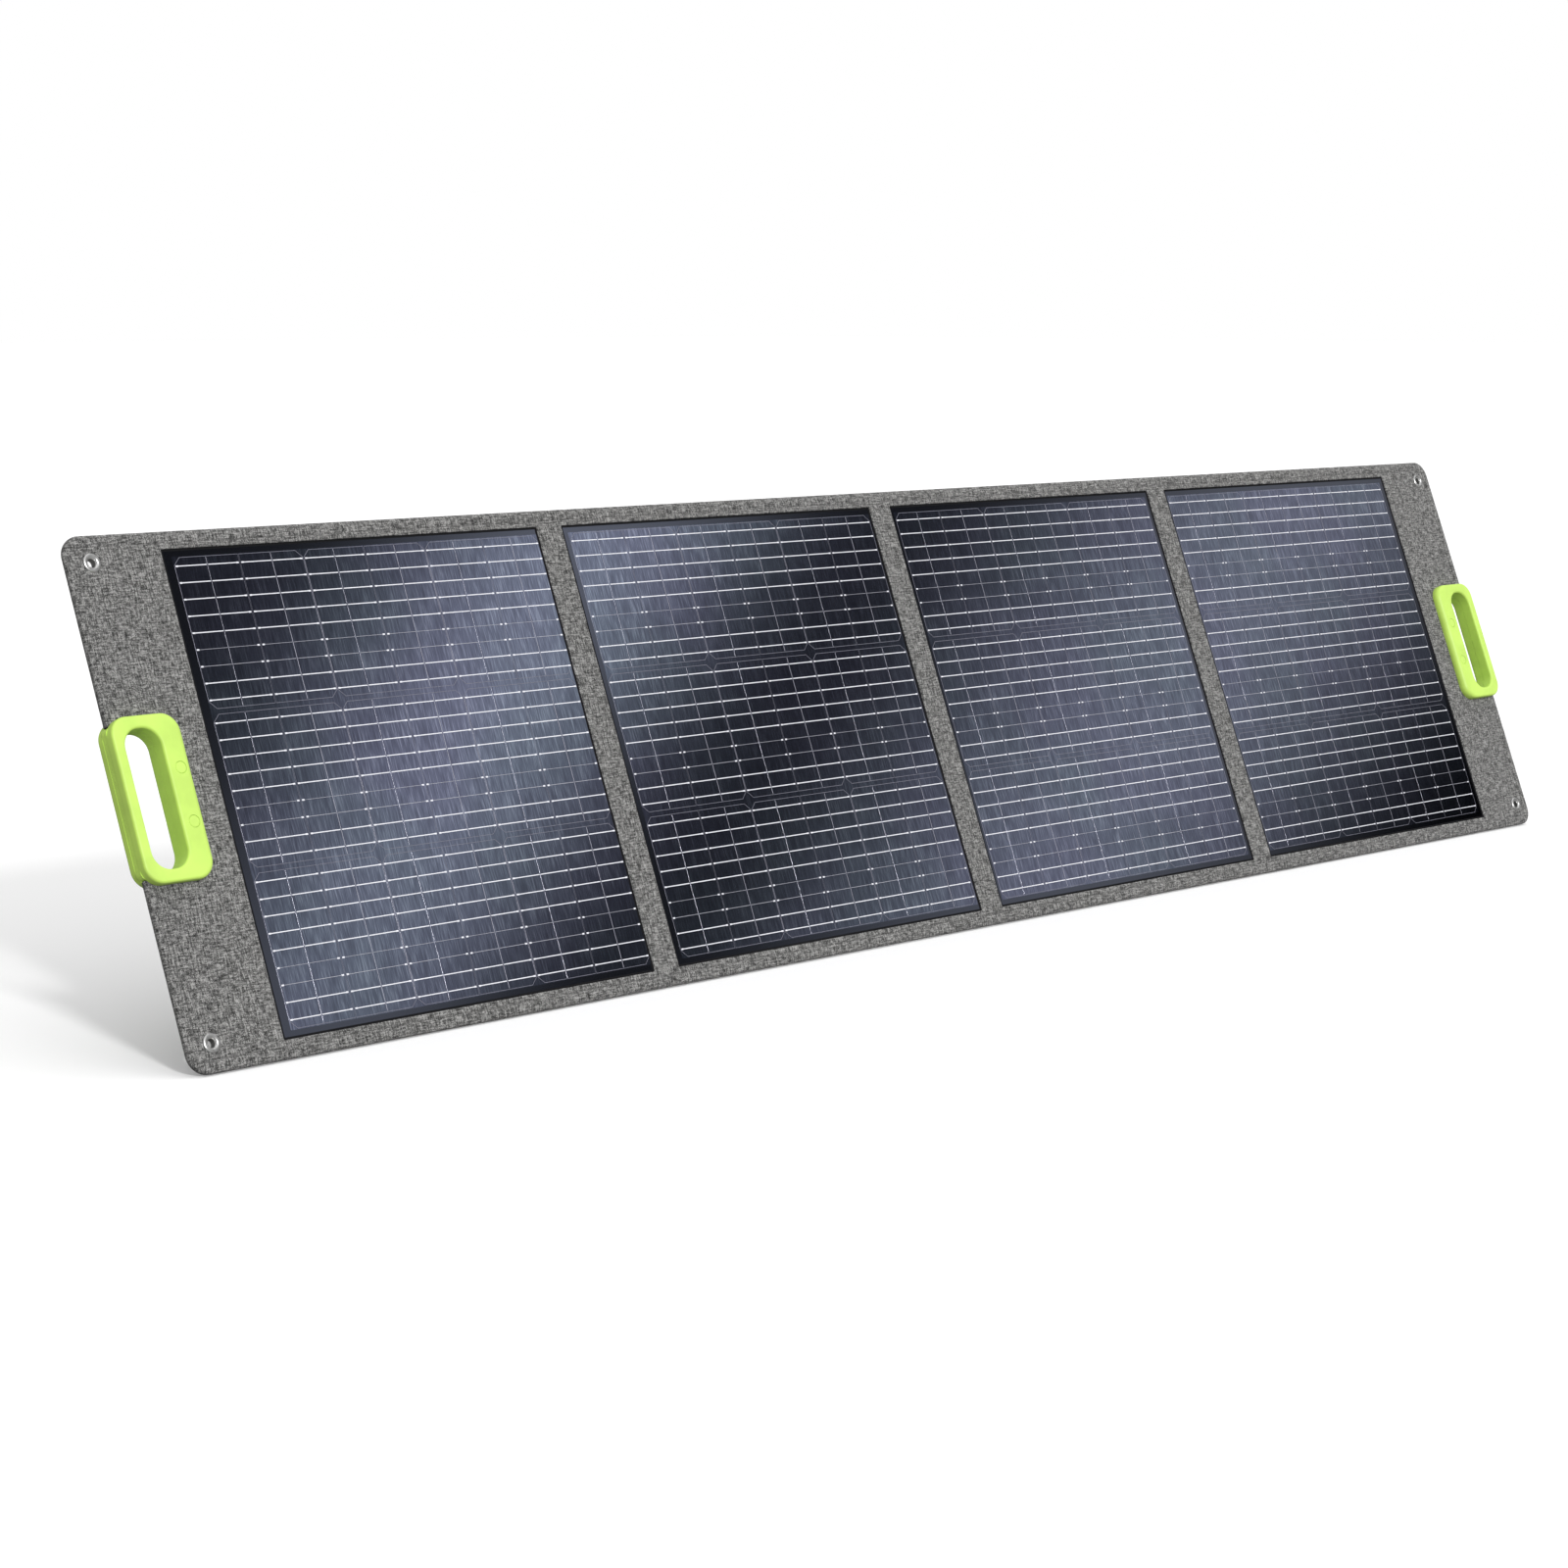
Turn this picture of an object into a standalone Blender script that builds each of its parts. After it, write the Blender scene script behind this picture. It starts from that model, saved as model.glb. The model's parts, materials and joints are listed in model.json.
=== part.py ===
"""A fold-out solar suitcase, open and standing on its kickstands.

Four stiff fabric panels are joined by three fabric hinges. Each end panel has a moulded
handle, two eyelets and a kickstand, and the last panel also has a cable pouch on its back.
Panel coordinates are x along the row, y up the panel's face and z out of its front.
"""

from math import cos, pi, radians, sin, sqrt

import bmesh
import bpy
from mathutils import Vector

# The open row of panels
LAMINATE_WIDTH = 0.4965
LAMINATE_HEIGHT = 0.507
FOLD_STRIP = 0.036
END_MARGIN = 0.113
EDGE_MARGIN = 0.019
CORNER_RADIUS = 0.0215
LEAN = radians(68.3)
PANELS = 4

LENGTH = PANELS * LAMINATE_WIDTH + (PANELS - 1) * FOLD_STRIP + 2 * END_MARGIN
HEIGHT = LAMINATE_HEIGHT + 2 * EDGE_MARGIN
PITCH = LAMINATE_WIDTH + FOLD_STRIP
END = LENGTH / 2
MIDDLE = HEIGHT / 2

# The layers of a panel, front to back
GAP = 0.0003
CLOTH = 0.0012
LAMINATE_FRONT = -0.0015
LAMINATE_BACK = -0.0039
BOARD_FRONT = -0.0042
BOARD_BACK = -0.0062
REAR_FRONT = -0.0065
BACK = REAR_FRONT - CLOTH
LAMINATE_LAP = 0.004
BOARD_LAP = 0.005
BOARD_INSET = 0.006
HEM = 0.003
CUT_REACH = 0.03

# The fabric hinges: the first and last fold front to front, the middle one back to back
FRONT_FOLD_AXIS = 0.004
REAR_FOLD_AXIS = BACK - 0.004

# The handles, measured inwards from the panel's end
HANDLE_OUTER = -0.0035
HANDLE_INNER = 0.079
HANDLE_HEIGHT = 0.1685
HANDLE_CORNER = 0.020
SLOT_OUTER = 0.009
SLOT_INNER = 0.051
SLOT_HEIGHT = 0.142
SLOT_RADIUS = 0.0192
HANDLE_FRONT = 0.0105
HANDLE_BACK = BACK - 0.0098
HANDLE_ROUNDING = 0.003
ROUNDING_STEPS = 2
PARTING = BACK / 2
NOTCH_INNER = 0.058
NOTCH_HEIGHT = 0.155
NOTCH_CORNER = 0.008

# The handle screws, and the caps over their heads
SCREW_INSET = 0.0655
SCREW_SPACING = 0.055
SCREW_HOLE = 0.0026
SCREW_BORE = 0.0024
SCREW_RADIUS = 0.0020
SCREW_FLOOR = HANDLE_BACK + 0.0020
HEAD_SEAT = 0.0022
HEAD_BORE = 0.0044
HEAD_RADIUS = 0.0040
HEAD_EDGE = 0.0020
HEAD_HEIGHT = 0.0030
CAP_SEAT = HANDLE_FRONT - 0.0025
CAP_BORE = 0.0065
CAP_RADIUS = 0.0061
CAP_BEVEL = 0.0005
CAP_TOP = HANDLE_FRONT + 0.0003

# The eyelets
EYELET_INSET = 0.029
EYELET_BORE = 0.0045
EYELET_BARREL = 0.0056
EYELET_FLANGE = 0.00975
EYELET_HOLE = 0.006
EYELET_RISE = 0.0013
EYELET_ROLL = 0.0017
EYELET_BEVEL = 0.0006
WASHER_THICK = 0.0010

# The kickstands, hinged on the backs of the end panels
STAND_X = 0.700
STAND_HINGE_Y = 0.400
STAND_HINGE_Z = BACK - 0.0048
STAND_OPEN = radians(40)
STAND_WIDTH = 0.210
STAND_CORNER = 0.022
STAND_FACE = 0.0025
STAND_BOARD = 0.0012
STAND_BOARD_INSET = 0.004
STAND_TOP = -0.003
TAPE_BOTTOM = STAND_HINGE_Y + 0.001
TAPE_HEIGHT = 0.024
TAPE_THICK = 0.0010
FOOT_WIDTH = 0.164
FOOT_HALF = 0.0043
FOOT_LIP = 0.012
FOOT_SOLE = 0.007
STRAP_WIDTH = 0.025
STRAP_HALF = 0.0006
STRAP_PANEL_END = (0.086, 0.118)
STRAP_STAND_END = (-0.270, -0.300)
STRAP_CLEARANCE = 0.0007

# Snap fasteners
SNAP_Y = 0.070
SNAP_RADIUS = 0.0060
SNAP_CROWN = 0.0030
SNAP_RING = 0.0055
SNAP_BASE = 0.0003
SNAP_DOME = 0.0008
SNAP_SOCKET = 0.0005
POUCH_SNAP_DROP = 0.045

# The cable pouch and the output box inside it
POUCH_X = 0.950
POUCH_WIDTH = 0.190
POUCH_BOTTOM = 0.080
POUCH_TOP = 0.300
POUCH_BACK = BACK - 0.0263
POUCH_WALL = 0.0015
FLAP_LENGTH = 0.062
FLAP_GAP = 0.003
FLAP_HALF = 0.0007
FLAP_OVERHANG = 0.003
FLAP_AXIS_Z = BACK - 0.0015
BOX_WIDTH = 0.100
BOX_BOTTOM = 0.090
BOX_HEIGHT = 0.060
BOX_DEPTH = 0.018
BOX_WALL = 0.002
BOX_CORNER = 0.004
BOX_FOOT = BACK - 0.0005
BOX_RIM = BOX_FOOT - BOX_DEPTH
LID_THICK = 0.002
DIODE_BOARD_INSET = 0.006
DIODE_BOARD_END = 0.016
DIODE_BOARD_RISE = 0.0045
DIODE_BOARD_THICK = 0.0016

# The output socket in the box's end wall
PORT_RADIUS = 0.0063
SOCKET_RADIUS = 0.0060
SOCKET_FLANGE = 0.0080
SOCKET_MOUTH = 0.0043
SOCKET_PIN = 0.0006
SOCKET_REACH = 0.010
SOCKET_FLOOR = 0.0080
SOCKET_PIN_TIP = 0.0010
SOCKET_RISE = 0.0020

LIFT = -BACK * cos(LEAN)
STAND_TURN = LEAN + STAND_OPEN
STAND_HINGE_UP = STAND_HINGE_Y * sin(LEAN) + STAND_HINGE_Z * cos(LEAN) + LIFT
STAND_HINGE_REAR = STAND_HINGE_Y * cos(LEAN) - STAND_HINGE_Z * sin(LEAN)


def sole(z):
    """How far down the stand's own y the floor lies, at z across the stand."""
    return (-STAND_HINGE_UP - z * cos(STAND_TURN)) / sin(STAND_TURN)


REAR_REACH = STAND_HINGE_REAR + sole(-FOOT_HALF) * cos(STAND_TURN) + FOOT_HALF * sin(STAND_TURN)
DEPTH_SHIFT = -REAR_REACH / 2

FINISHES = {
    "fabric": ((0.18, 0.18, 0.175), 0.9, 0.0),
    "rear_fabric": ((0.03, 0.03, 0.032), 0.9, 0.0),
    "laminate": ((0.012, 0.012, 0.016), 0.25, 0.0),
    "board": ((0.25, 0.25, 0.25), 0.7, 0.0),
    "lime_plastic": ((0.42, 0.72, 0.10), 0.45, 0.0),
    "black_plastic": ((0.02, 0.02, 0.02), 0.5, 0.0),
    "plated_metal": ((0.75, 0.75, 0.74), 0.25, 1.0),
    "screw_steel": ((0.45, 0.45, 0.46), 0.35, 1.0),
    "rubber": ((0.025, 0.025, 0.025), 0.8, 0.0),
    "webbing": ((0.02, 0.02, 0.02), 0.85, 0.0),
    "circuit_board": ((0.02, 0.12, 0.05), 0.5, 0.0),
}


def clear_scene():
    for obj in list(bpy.data.objects):
        bpy.data.objects.remove(obj, do_unlink=True)


def finish_of(name):
    """The material of that name, made the first time it is asked for."""
    if name in bpy.data.materials:
        return bpy.data.materials[name]
    colour, roughness, metallic = FINISHES[name]
    made = bpy.data.materials.new(name)
    made.use_nodes = True
    shader = made.node_tree.nodes["Principled BSDF"]
    shader.inputs["Base Color"].default_value = (*colour, 1.0)
    shader.inputs["Roughness"].default_value = roughness
    shader.inputs["Metallic"].default_value = metallic
    return made


def axis_empty(name, parent, origin, turn=0.0):
    """An empty on a body's joint axis. Its pieces' meshes are measured from there."""
    empty = bpy.data.objects.new(name, None)
    bpy.context.scene.collection.objects.link(empty)
    empty.parent = parent
    base = Vector(parent["origin"]) if parent else Vector()
    empty.location = Vector(origin) - base
    empty.rotation_euler = (turn, 0.0, 0.0)
    empty["origin"] = origin if turn == 0.0 else (0.0, 0.0, 0.0)
    return empty


def loft(name, loops, body, finish, ring=False):
    """A closed solid through loops of equally many points: capped, or joined end to end as a ring."""
    mesh = bmesh.new()
    origin = Vector(body["origin"])
    rows = [[mesh.verts.new(Vector(point) - origin) for point in loop] for loop in loops]
    for low, high in zip(rows, rows[1:] + (rows[:1] if ring else [])):
        for i in range(len(low)):
            j = (i + 1) % len(low)
            mesh.faces.new((low[i], low[j], high[j], high[i]))
    if not ring:
        mesh.faces.new(reversed(rows[0]))
        mesh.faces.new(rows[-1])
    bmesh.ops.recalc_face_normals(mesh, faces=mesh.faces)
    data = bpy.data.meshes.new(name)
    mesh.to_mesh(data)
    mesh.free()
    data.shade_smooth()
    data.set_sharp_from_angle(angle=radians(35))
    piece = bpy.data.objects.new(name, data)
    bpy.context.scene.collection.objects.link(piece)
    piece.parent = body
    if finish:
        data.materials.append(finish_of(finish))
    return piece


def as_cutter(tool):
    tool.hide_render = True
    tool.display_type = "WIRE"
    return tool


def cut(piece, tools):
    for tool in tools:
        hole = piece.modifiers.new(tool.name, "BOOLEAN")
        hole.operation = "DIFFERENCE"
        hole.object = tool


def outline(x0, y0, x1, y1, left=0.0, right=0.0, steps=6):
    """A rectangle, anticlockwise from its lower left corner, with its left and right corners rounded."""
    corners = [
        (x0 + left, y0 + left, left, pi),
        (x1 - right, y0 + right, right, 1.5 * pi),
        (x1 - right, y1 - right, right, 0.0),
        (x0 + left, y1 - left, left, 0.5 * pi),
    ]
    points = []
    for x, y, radius, start in corners:
        for step in range(steps + 1 if radius else 1):
            angle = start + step / steps * pi / 2
            points.append((x + radius * cos(angle), y + radius * sin(angle)))
    return points


def at(points, z):
    return [(x, y, z) for x, y in points]


def plate(name, points, z0, z1, body, finish):
    return loft(name, [at(points, z0), at(points, z1)], body, finish)


def bar(name, section, x0, x1, body, finish):
    """A (y, z) section drawn out along x."""
    return loft(name, [[(x, y, z) for y, z in section] for x in (x0, x1)], body, finish)


def circle(x, y, z, radius, sides):
    turns = [2 * pi * i / sides for i in range(sides)]
    return [(x + radius * cos(turn), y + radius * sin(turn), z) for turn in turns]


def turned(name, x, y, profile, body, finish, ring=False, sides=16):
    """A solid of revolution about z through (x, y), from (radius, z) points."""
    loops = [circle(x, y, z, radius, sides) for radius, z in profile]
    return loft(name, loops, body, finish, ring)


def fold_line(number):
    """The x of the fold between panel number and the next one."""
    return -END + END_MARGIN + number * PITCH - FOLD_STRIP / 2


def panel_edges(number):
    left = -END if number == 1 else fold_line(number - 1) + GAP / 2
    right = END if number == PANELS else fold_line(number) - GAP / 2
    return left, right


def laminate_edges(number):
    left = -END + END_MARGIN + (number - 1) * PITCH
    return left, left + LAMINATE_WIDTH


def end_holes(number, body, side):
    """Cutters through every layer of an end panel: the handle's notch, the eyelets and the screws."""
    name = "left" if side < 0 else "right"
    notch_end = side * (END + CUT_REACH)
    inner = side * (END - NOTCH_INNER)
    x0, x1 = sorted((notch_end, inner))
    y0, y1 = MIDDLE - NOTCH_HEIGHT / 2, MIDDLE + NOTCH_HEIGHT / 2
    shape = outline(x0, y0, x1, y1, NOTCH_CORNER, NOTCH_CORNER)
    tools = [as_cutter(plate(name + "_notch", shape, -CUT_REACH, CUT_REACH, body, None))]
    drill = [(EYELET_HOLE, -CUT_REACH), (EYELET_HOLE, CUT_REACH)]
    for row, y in enumerate((EYELET_INSET, HEIGHT - EYELET_INSET)):
        hole = turned(f"{name}_eyelet_hole_{row}", side * (END - EYELET_INSET), y, drill, body, None)
        tools.append(as_cutter(hole))
    drill = [(SCREW_HOLE, -CUT_REACH), (SCREW_HOLE, CUT_REACH)]
    for row, y in enumerate(screw_rows()):
        hole = turned(f"{name}_screw_hole_{row}", side * (END - SCREW_INSET), y, drill, body, None, sides=12)
        tools.append(as_cutter(hole))
    return tools


def screw_rows():
    return (MIDDLE - SCREW_SPACING / 2, MIDDLE + SCREW_SPACING / 2)


def add_panel(number, body):
    """The front and rear covers of one panel, with its laminate and stiffener between them."""
    left, right = panel_edges(number)
    left_radius = CORNER_RADIUS if number == 1 else 0.0
    right_radius = CORNER_RADIUS if number == PANELS else 0.0
    lam_left, lam_right = laminate_edges(number)
    y0, y1 = EDGE_MARGIN, HEIGHT - EDGE_MARGIN
    side = -1 if number == 1 else 1 if number == PANELS else 0
    holes = end_holes(number, body, side) if side else []

    shape = outline(left, 0.0, right, HEIGHT, left_radius, right_radius)
    front = plate(f"cover_front_{number}", shape, 0.0, BOARD_BACK, body, "fabric")
    window = outline(lam_left, y0, lam_right, y1)
    hollow = outline(
        left + (HEM if number == 1 else -HEM),
        HEM,
        right - (HEM if number == PANELS else -HEM),
        HEIGHT - HEM,
        max(left_radius - HEM, 0.0),
        max(right_radius - HEM, 0.0),
    )
    tools = [
        as_cutter(plate(f"window_{number}", window, -CUT_REACH, CUT_REACH, body, None)),
        as_cutter(plate(f"hollow_{number}", hollow, -CLOTH, -CUT_REACH, body, None)),
    ]
    cut(front, tools + holes)

    lap = LAMINATE_LAP
    sheet = outline(lam_left - lap, y0 - lap, lam_right + lap, y1 + lap)
    plate(f"solar_laminate_{number}", sheet, LAMINATE_FRONT, LAMINATE_BACK, body, "laminate")

    board_left = left + BOARD_INSET if number == 1 else lam_left - BOARD_LAP
    board_right = right - BOARD_INSET if number == PANELS else lam_right + BOARD_LAP
    sheet = outline(
        board_left,
        BOARD_INSET,
        board_right,
        HEIGHT - BOARD_INSET,
        max(left_radius - BOARD_INSET, 0.0),
        max(right_radius - BOARD_INSET, 0.0),
    )
    cut(plate(f"stiffener_{number}", sheet, BOARD_FRONT, BOARD_BACK, body, "board"), holes)
    cut(plate(f"cover_rear_{number}", shape, REAR_FRONT, BACK, body, "rear_fabric"), holes)


def handle_outline(side, outer, inner, height, radius):
    x0, x1 = sorted((side * (END - outer), side * (END - inner)))
    return outline(x0, MIDDLE - height / 2, x1, MIDDLE + height / 2, radius, radius, steps=5)


def handle_half(name, side, face, seat, parting, body):
    """One moulding of a handle, from its rounded face in to its seat on the cover and the parting plane."""
    inward = 1 if seat > face else -1

    def rounded(step, size, way):
        """One loop of a rounded edge, in the face at step 0. Way is 1 to shrink it, -1 to grow it."""
        angle = step / ROUNDING_STEPS * pi / 2
        inset = way * HANDLE_ROUNDING * (1 - sin(angle))
        depth = face + inward * HANDLE_ROUNDING * (1 - cos(angle))
        outer, inner, height, radius = size
        shape = handle_outline(side, outer + inset, inner - inset, height - 2 * inset, radius - inset)
        return at(shape, depth)

    outer = (HANDLE_OUTER, HANDLE_INNER, HANDLE_HEIGHT, HANDLE_CORNER)
    spigot = (HANDLE_OUTER + GAP, NOTCH_INNER - GAP, NOTCH_HEIGHT - 2 * GAP, NOTCH_CORNER - GAP)
    slot = (SLOT_OUTER, SLOT_INNER, SLOT_HEIGHT, SLOT_RADIUS)
    steps = range(ROUNDING_STEPS + 1)
    loops = [rounded(step, outer, 1) for step in steps]
    loops.append(at(handle_outline(side, *outer), seat))
    loops.append(at(handle_outline(side, *spigot), seat))
    loops.append(at(handle_outline(side, *spigot), parting))
    loops.append(at(handle_outline(side, *slot), parting))
    loops += [rounded(step, slot, -1) for step in reversed(steps)]
    return loft(name, loops, body, "lime_plastic", ring=True)


def add_handle(name, side, body):
    """Two mouldings screwed together through the covers, with a cap over each screw."""
    front = handle_half(name + "_handle_front", side, HANDLE_FRONT, GAP, PARTING + GAP / 2, body)
    rear = handle_half(name + "_handle_rear", side, HANDLE_BACK, BACK - GAP, PARTING - GAP / 2, body)
    x = side * (END - SCREW_INSET)
    bore = [
        (SCREW_BORE, -CUT_REACH),
        (SCREW_BORE, HEAD_SEAT),
        (HEAD_BORE, HEAD_SEAT),
        (HEAD_BORE, CAP_SEAT),
        (CAP_BORE, CAP_SEAT),
        (CAP_BORE, CUT_REACH),
    ]
    pilot = [(SCREW_BORE, SCREW_FLOOR), (SCREW_BORE, 0.0)]
    screw = [
        (SCREW_RADIUS, SCREW_FLOOR + GAP),
        (SCREW_RADIUS, HEAD_SEAT + GAP),
        (HEAD_RADIUS, HEAD_SEAT + GAP),
        (HEAD_RADIUS, HEAD_SEAT + GAP + HEAD_EDGE),
        (HEAD_RADIUS - (HEAD_HEIGHT - HEAD_EDGE), HEAD_SEAT + GAP + HEAD_HEIGHT),
    ]
    cap = [
        (CAP_RADIUS - CAP_BEVEL, CAP_SEAT + GAP),
        (CAP_RADIUS, CAP_SEAT + GAP + CAP_BEVEL),
        (CAP_RADIUS, CAP_TOP - CAP_BEVEL),
        (CAP_RADIUS - CAP_BEVEL, CAP_TOP),
    ]
    for row, y in zip(("lower", "upper"), screw_rows()):
        cut(front, [as_cutter(turned(f"{name}_{row}_bore", x, y, bore, body, None))])
        cut(rear, [as_cutter(turned(f"{name}_{row}_pilot", x, y, pilot, body, None, sides=12))])
        turned(f"{name}_handle_screw_{row}", x, y, screw, body, "screw_steel", sides=12)
        turned(f"{name}_handle_cap_{row}", x, y, cap, body, "lime_plastic")


def add_eyelets(name, side, body):
    """A flanged metal eyelet and its washer in each outer corner."""
    eyelet = [
        (EYELET_BORE, BACK - EYELET_ROLL),
        (EYELET_BARREL, BACK - EYELET_ROLL),
        (EYELET_BARREL, GAP),
        (EYELET_FLANGE, GAP),
        (EYELET_FLANGE, EYELET_RISE - EYELET_BEVEL),
        (EYELET_FLANGE - EYELET_BEVEL, EYELET_RISE),
        (EYELET_BARREL, EYELET_RISE),
        (EYELET_BORE, EYELET_RISE - EYELET_BEVEL),
    ]
    washer = [
        (EYELET_BARREL + GAP, BACK - GAP),
        (EYELET_FLANGE, BACK - GAP),
        (EYELET_FLANGE, BACK - GAP - WASHER_THICK),
        (EYELET_BARREL + GAP, BACK - GAP - WASHER_THICK),
    ]
    x = side * (END - EYELET_INSET)
    for row, y in (("lower", EYELET_INSET), ("upper", HEIGHT - EYELET_INSET)):
        turned(f"{name}_eyelet_{row}", x, y, eyelet, body, "plated_metal", ring=True)
        turned(f"{name}_eyelet_washer_{row}", x, y, washer, body, "plated_metal", ring=True)


def from_stand(y, z):
    """Panel (y, z) of a point given in the open stand's own (y, z)."""
    return (
        STAND_HINGE_Y + y * cos(STAND_OPEN) - z * sin(STAND_OPEN),
        STAND_HINGE_Z + y * sin(STAND_OPEN) + z * cos(STAND_OPEN),
    )


def strap_section(points):
    """The (y, z) outline of a strap that follows those points, its corners mitred."""
    offsets = []
    for i, (y, z) in enumerate(points):
        normals = []
        for a, b in ((i - 1, i), (i, i + 1)):
            if 0 <= a and b < len(points):
                dy, dz = points[b][0] - points[a][0], points[b][1] - points[a][1]
                run = sqrt(dy * dy + dz * dz)
                normals.append(Vector((-dz / run, dy / run)))
        mean = (normals[0] + normals[-1]).normalized()
        offsets.append(mean * (STRAP_HALF / mean.dot(normals[0])))
    one_side = [(y + o.x, z + o.y) for (y, z), o in zip(points, offsets)]
    other_side = [(y - o.x, z - o.y) for (y, z), o in zip(points, offsets)]
    return one_side + other_side[::-1]


def snap_stud(base):
    """The profile of a snap's stud that stands on base and points backwards."""
    return [(SNAP_RADIUS, base), (SNAP_RADIUS, base - SNAP_BASE), (SNAP_CROWN, base - SNAP_DOME)]


def add_stand(name, side, panel):
    """A board flap with a rubber foot, hinged on a sewn tape and held open by a strap."""
    x = side * STAND_X
    half = STAND_WIDTH / 2
    stand = axis_empty(name + "_stand", panel, (x, STAND_HINGE_Y, STAND_HINGE_Z), STAND_OPEN)
    end = sole(0.0) + FOOT_SOLE
    shape = outline(-half, end, half, STAND_TOP, STAND_CORNER, STAND_CORNER)
    inner_face = STAND_BOARD + GAP
    plate(name + "_stand_cover_inner", shape, inner_face, STAND_FACE, stand, "rear_fabric")
    plate(name + "_stand_cover_outer", shape, -STAND_FACE, -inner_face, stand, "rear_fabric")
    inset = STAND_BOARD_INSET
    corner = STAND_CORNER - inset
    shape = outline(-half + inset, end + inset, half - inset, STAND_TOP - inset, corner, corner)
    plate(name + "_stand_board", shape, -STAND_BOARD, STAND_BOARD, stand, "board")

    grip = STAND_FACE + GAP
    section = [
        (sole(FOOT_HALF), FOOT_HALF),
        (end + FOOT_LIP, FOOT_HALF),
        (end + FOOT_LIP, grip),
        (end - GAP, grip),
        (end - GAP, -grip),
        (end + FOOT_LIP, -grip),
        (end + FOOT_LIP, -FOOT_HALF),
        (sole(-FOOT_HALF), -FOOT_HALF),
    ]
    bar(name + "_stand_foot", section, -FOOT_WIDTH / 2, FOOT_WIDTH / 2, stand, "rubber")

    tape = outline(x - half, TAPE_BOTTOM, x + half, TAPE_BOTTOM + TAPE_HEIGHT)
    plate(name + "_stand_hinge_tape", tape, BACK - GAP, BACK - GAP - TAPE_THICK, panel, "webbing")

    stand_end_z = STAND_FACE + GAP + STRAP_HALF
    panel_end_z = BACK - STRAP_CLEARANCE - STRAP_HALF
    points = [(y, panel_end_z) for y in STRAP_PANEL_END]
    points += [from_stand(y, stand_end_z) for y in STRAP_STAND_END]
    half = STRAP_WIDTH / 2
    bar(name + "_stand_strap", strap_section(points), x - half, x + half, panel, "webbing")

    stud = snap_stud(BACK - GAP)
    turned(name + "_stand_snap_stud", x, SNAP_Y, stud, panel, "plated_metal")
    socket = [(SNAP_RADIUS, grip), (SNAP_RING, grip + SNAP_SOCKET)]
    turned(name + "_stand_snap_socket", 0.0, SNAP_Y - STAND_HINGE_Y, socket, stand, "plated_metal")


def add_pouch(panel):
    """The sewn cable pouch, open at the top under a hinged flap with a snap."""
    x0, x1 = POUCH_X - POUCH_WIDTH / 2, POUCH_X + POUCH_WIDTH / 2
    wall = POUCH_WALL
    shape = outline(x0, POUCH_BOTTOM, x1, POUCH_TOP)
    pouch = plate("pouch", shape, BACK - GAP, POUCH_BACK, panel, "rear_fabric")
    space = outline(x0 + wall, POUCH_BOTTOM + wall, x1 - wall, POUCH_TOP + CUT_REACH)
    cut(pouch, [as_cutter(plate("pouch_space", space, 0.0, POUCH_BACK + wall, panel, None))])

    flap_y = POUCH_TOP + GAP + FLAP_HALF
    flap = axis_empty("pouch_flap_axis", panel, (POUCH_X, flap_y, FLAP_AXIS_Z))
    far = POUCH_BACK - FLAP_GAP
    thick = 2 * FLAP_HALF
    section = [
        (flap_y - FLAP_HALF, FLAP_AXIS_Z),
        (flap_y + FLAP_HALF, FLAP_AXIS_Z),
        (flap_y + FLAP_HALF, far - thick),
        (flap_y + FLAP_HALF - FLAP_LENGTH, far - thick),
        (flap_y + FLAP_HALF - FLAP_LENGTH, far),
        (flap_y - FLAP_HALF, far),
    ]
    bar("pouch_flap", section, x0 - FLAP_OVERHANG, x1 + FLAP_OVERHANG, flap, "rear_fabric")

    y = POUCH_TOP - POUCH_SNAP_DROP
    turned("pouch_snap_stud", POUCH_X, y, snap_stud(POUCH_BACK - GAP), panel, "plated_metal")
    socket = [(SNAP_RADIUS, far + GAP), (SNAP_RING, far + GAP + SNAP_SOCKET)]
    turned("pouch_snap_socket", POUCH_X, y, socket, flap, "plated_metal")


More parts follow.
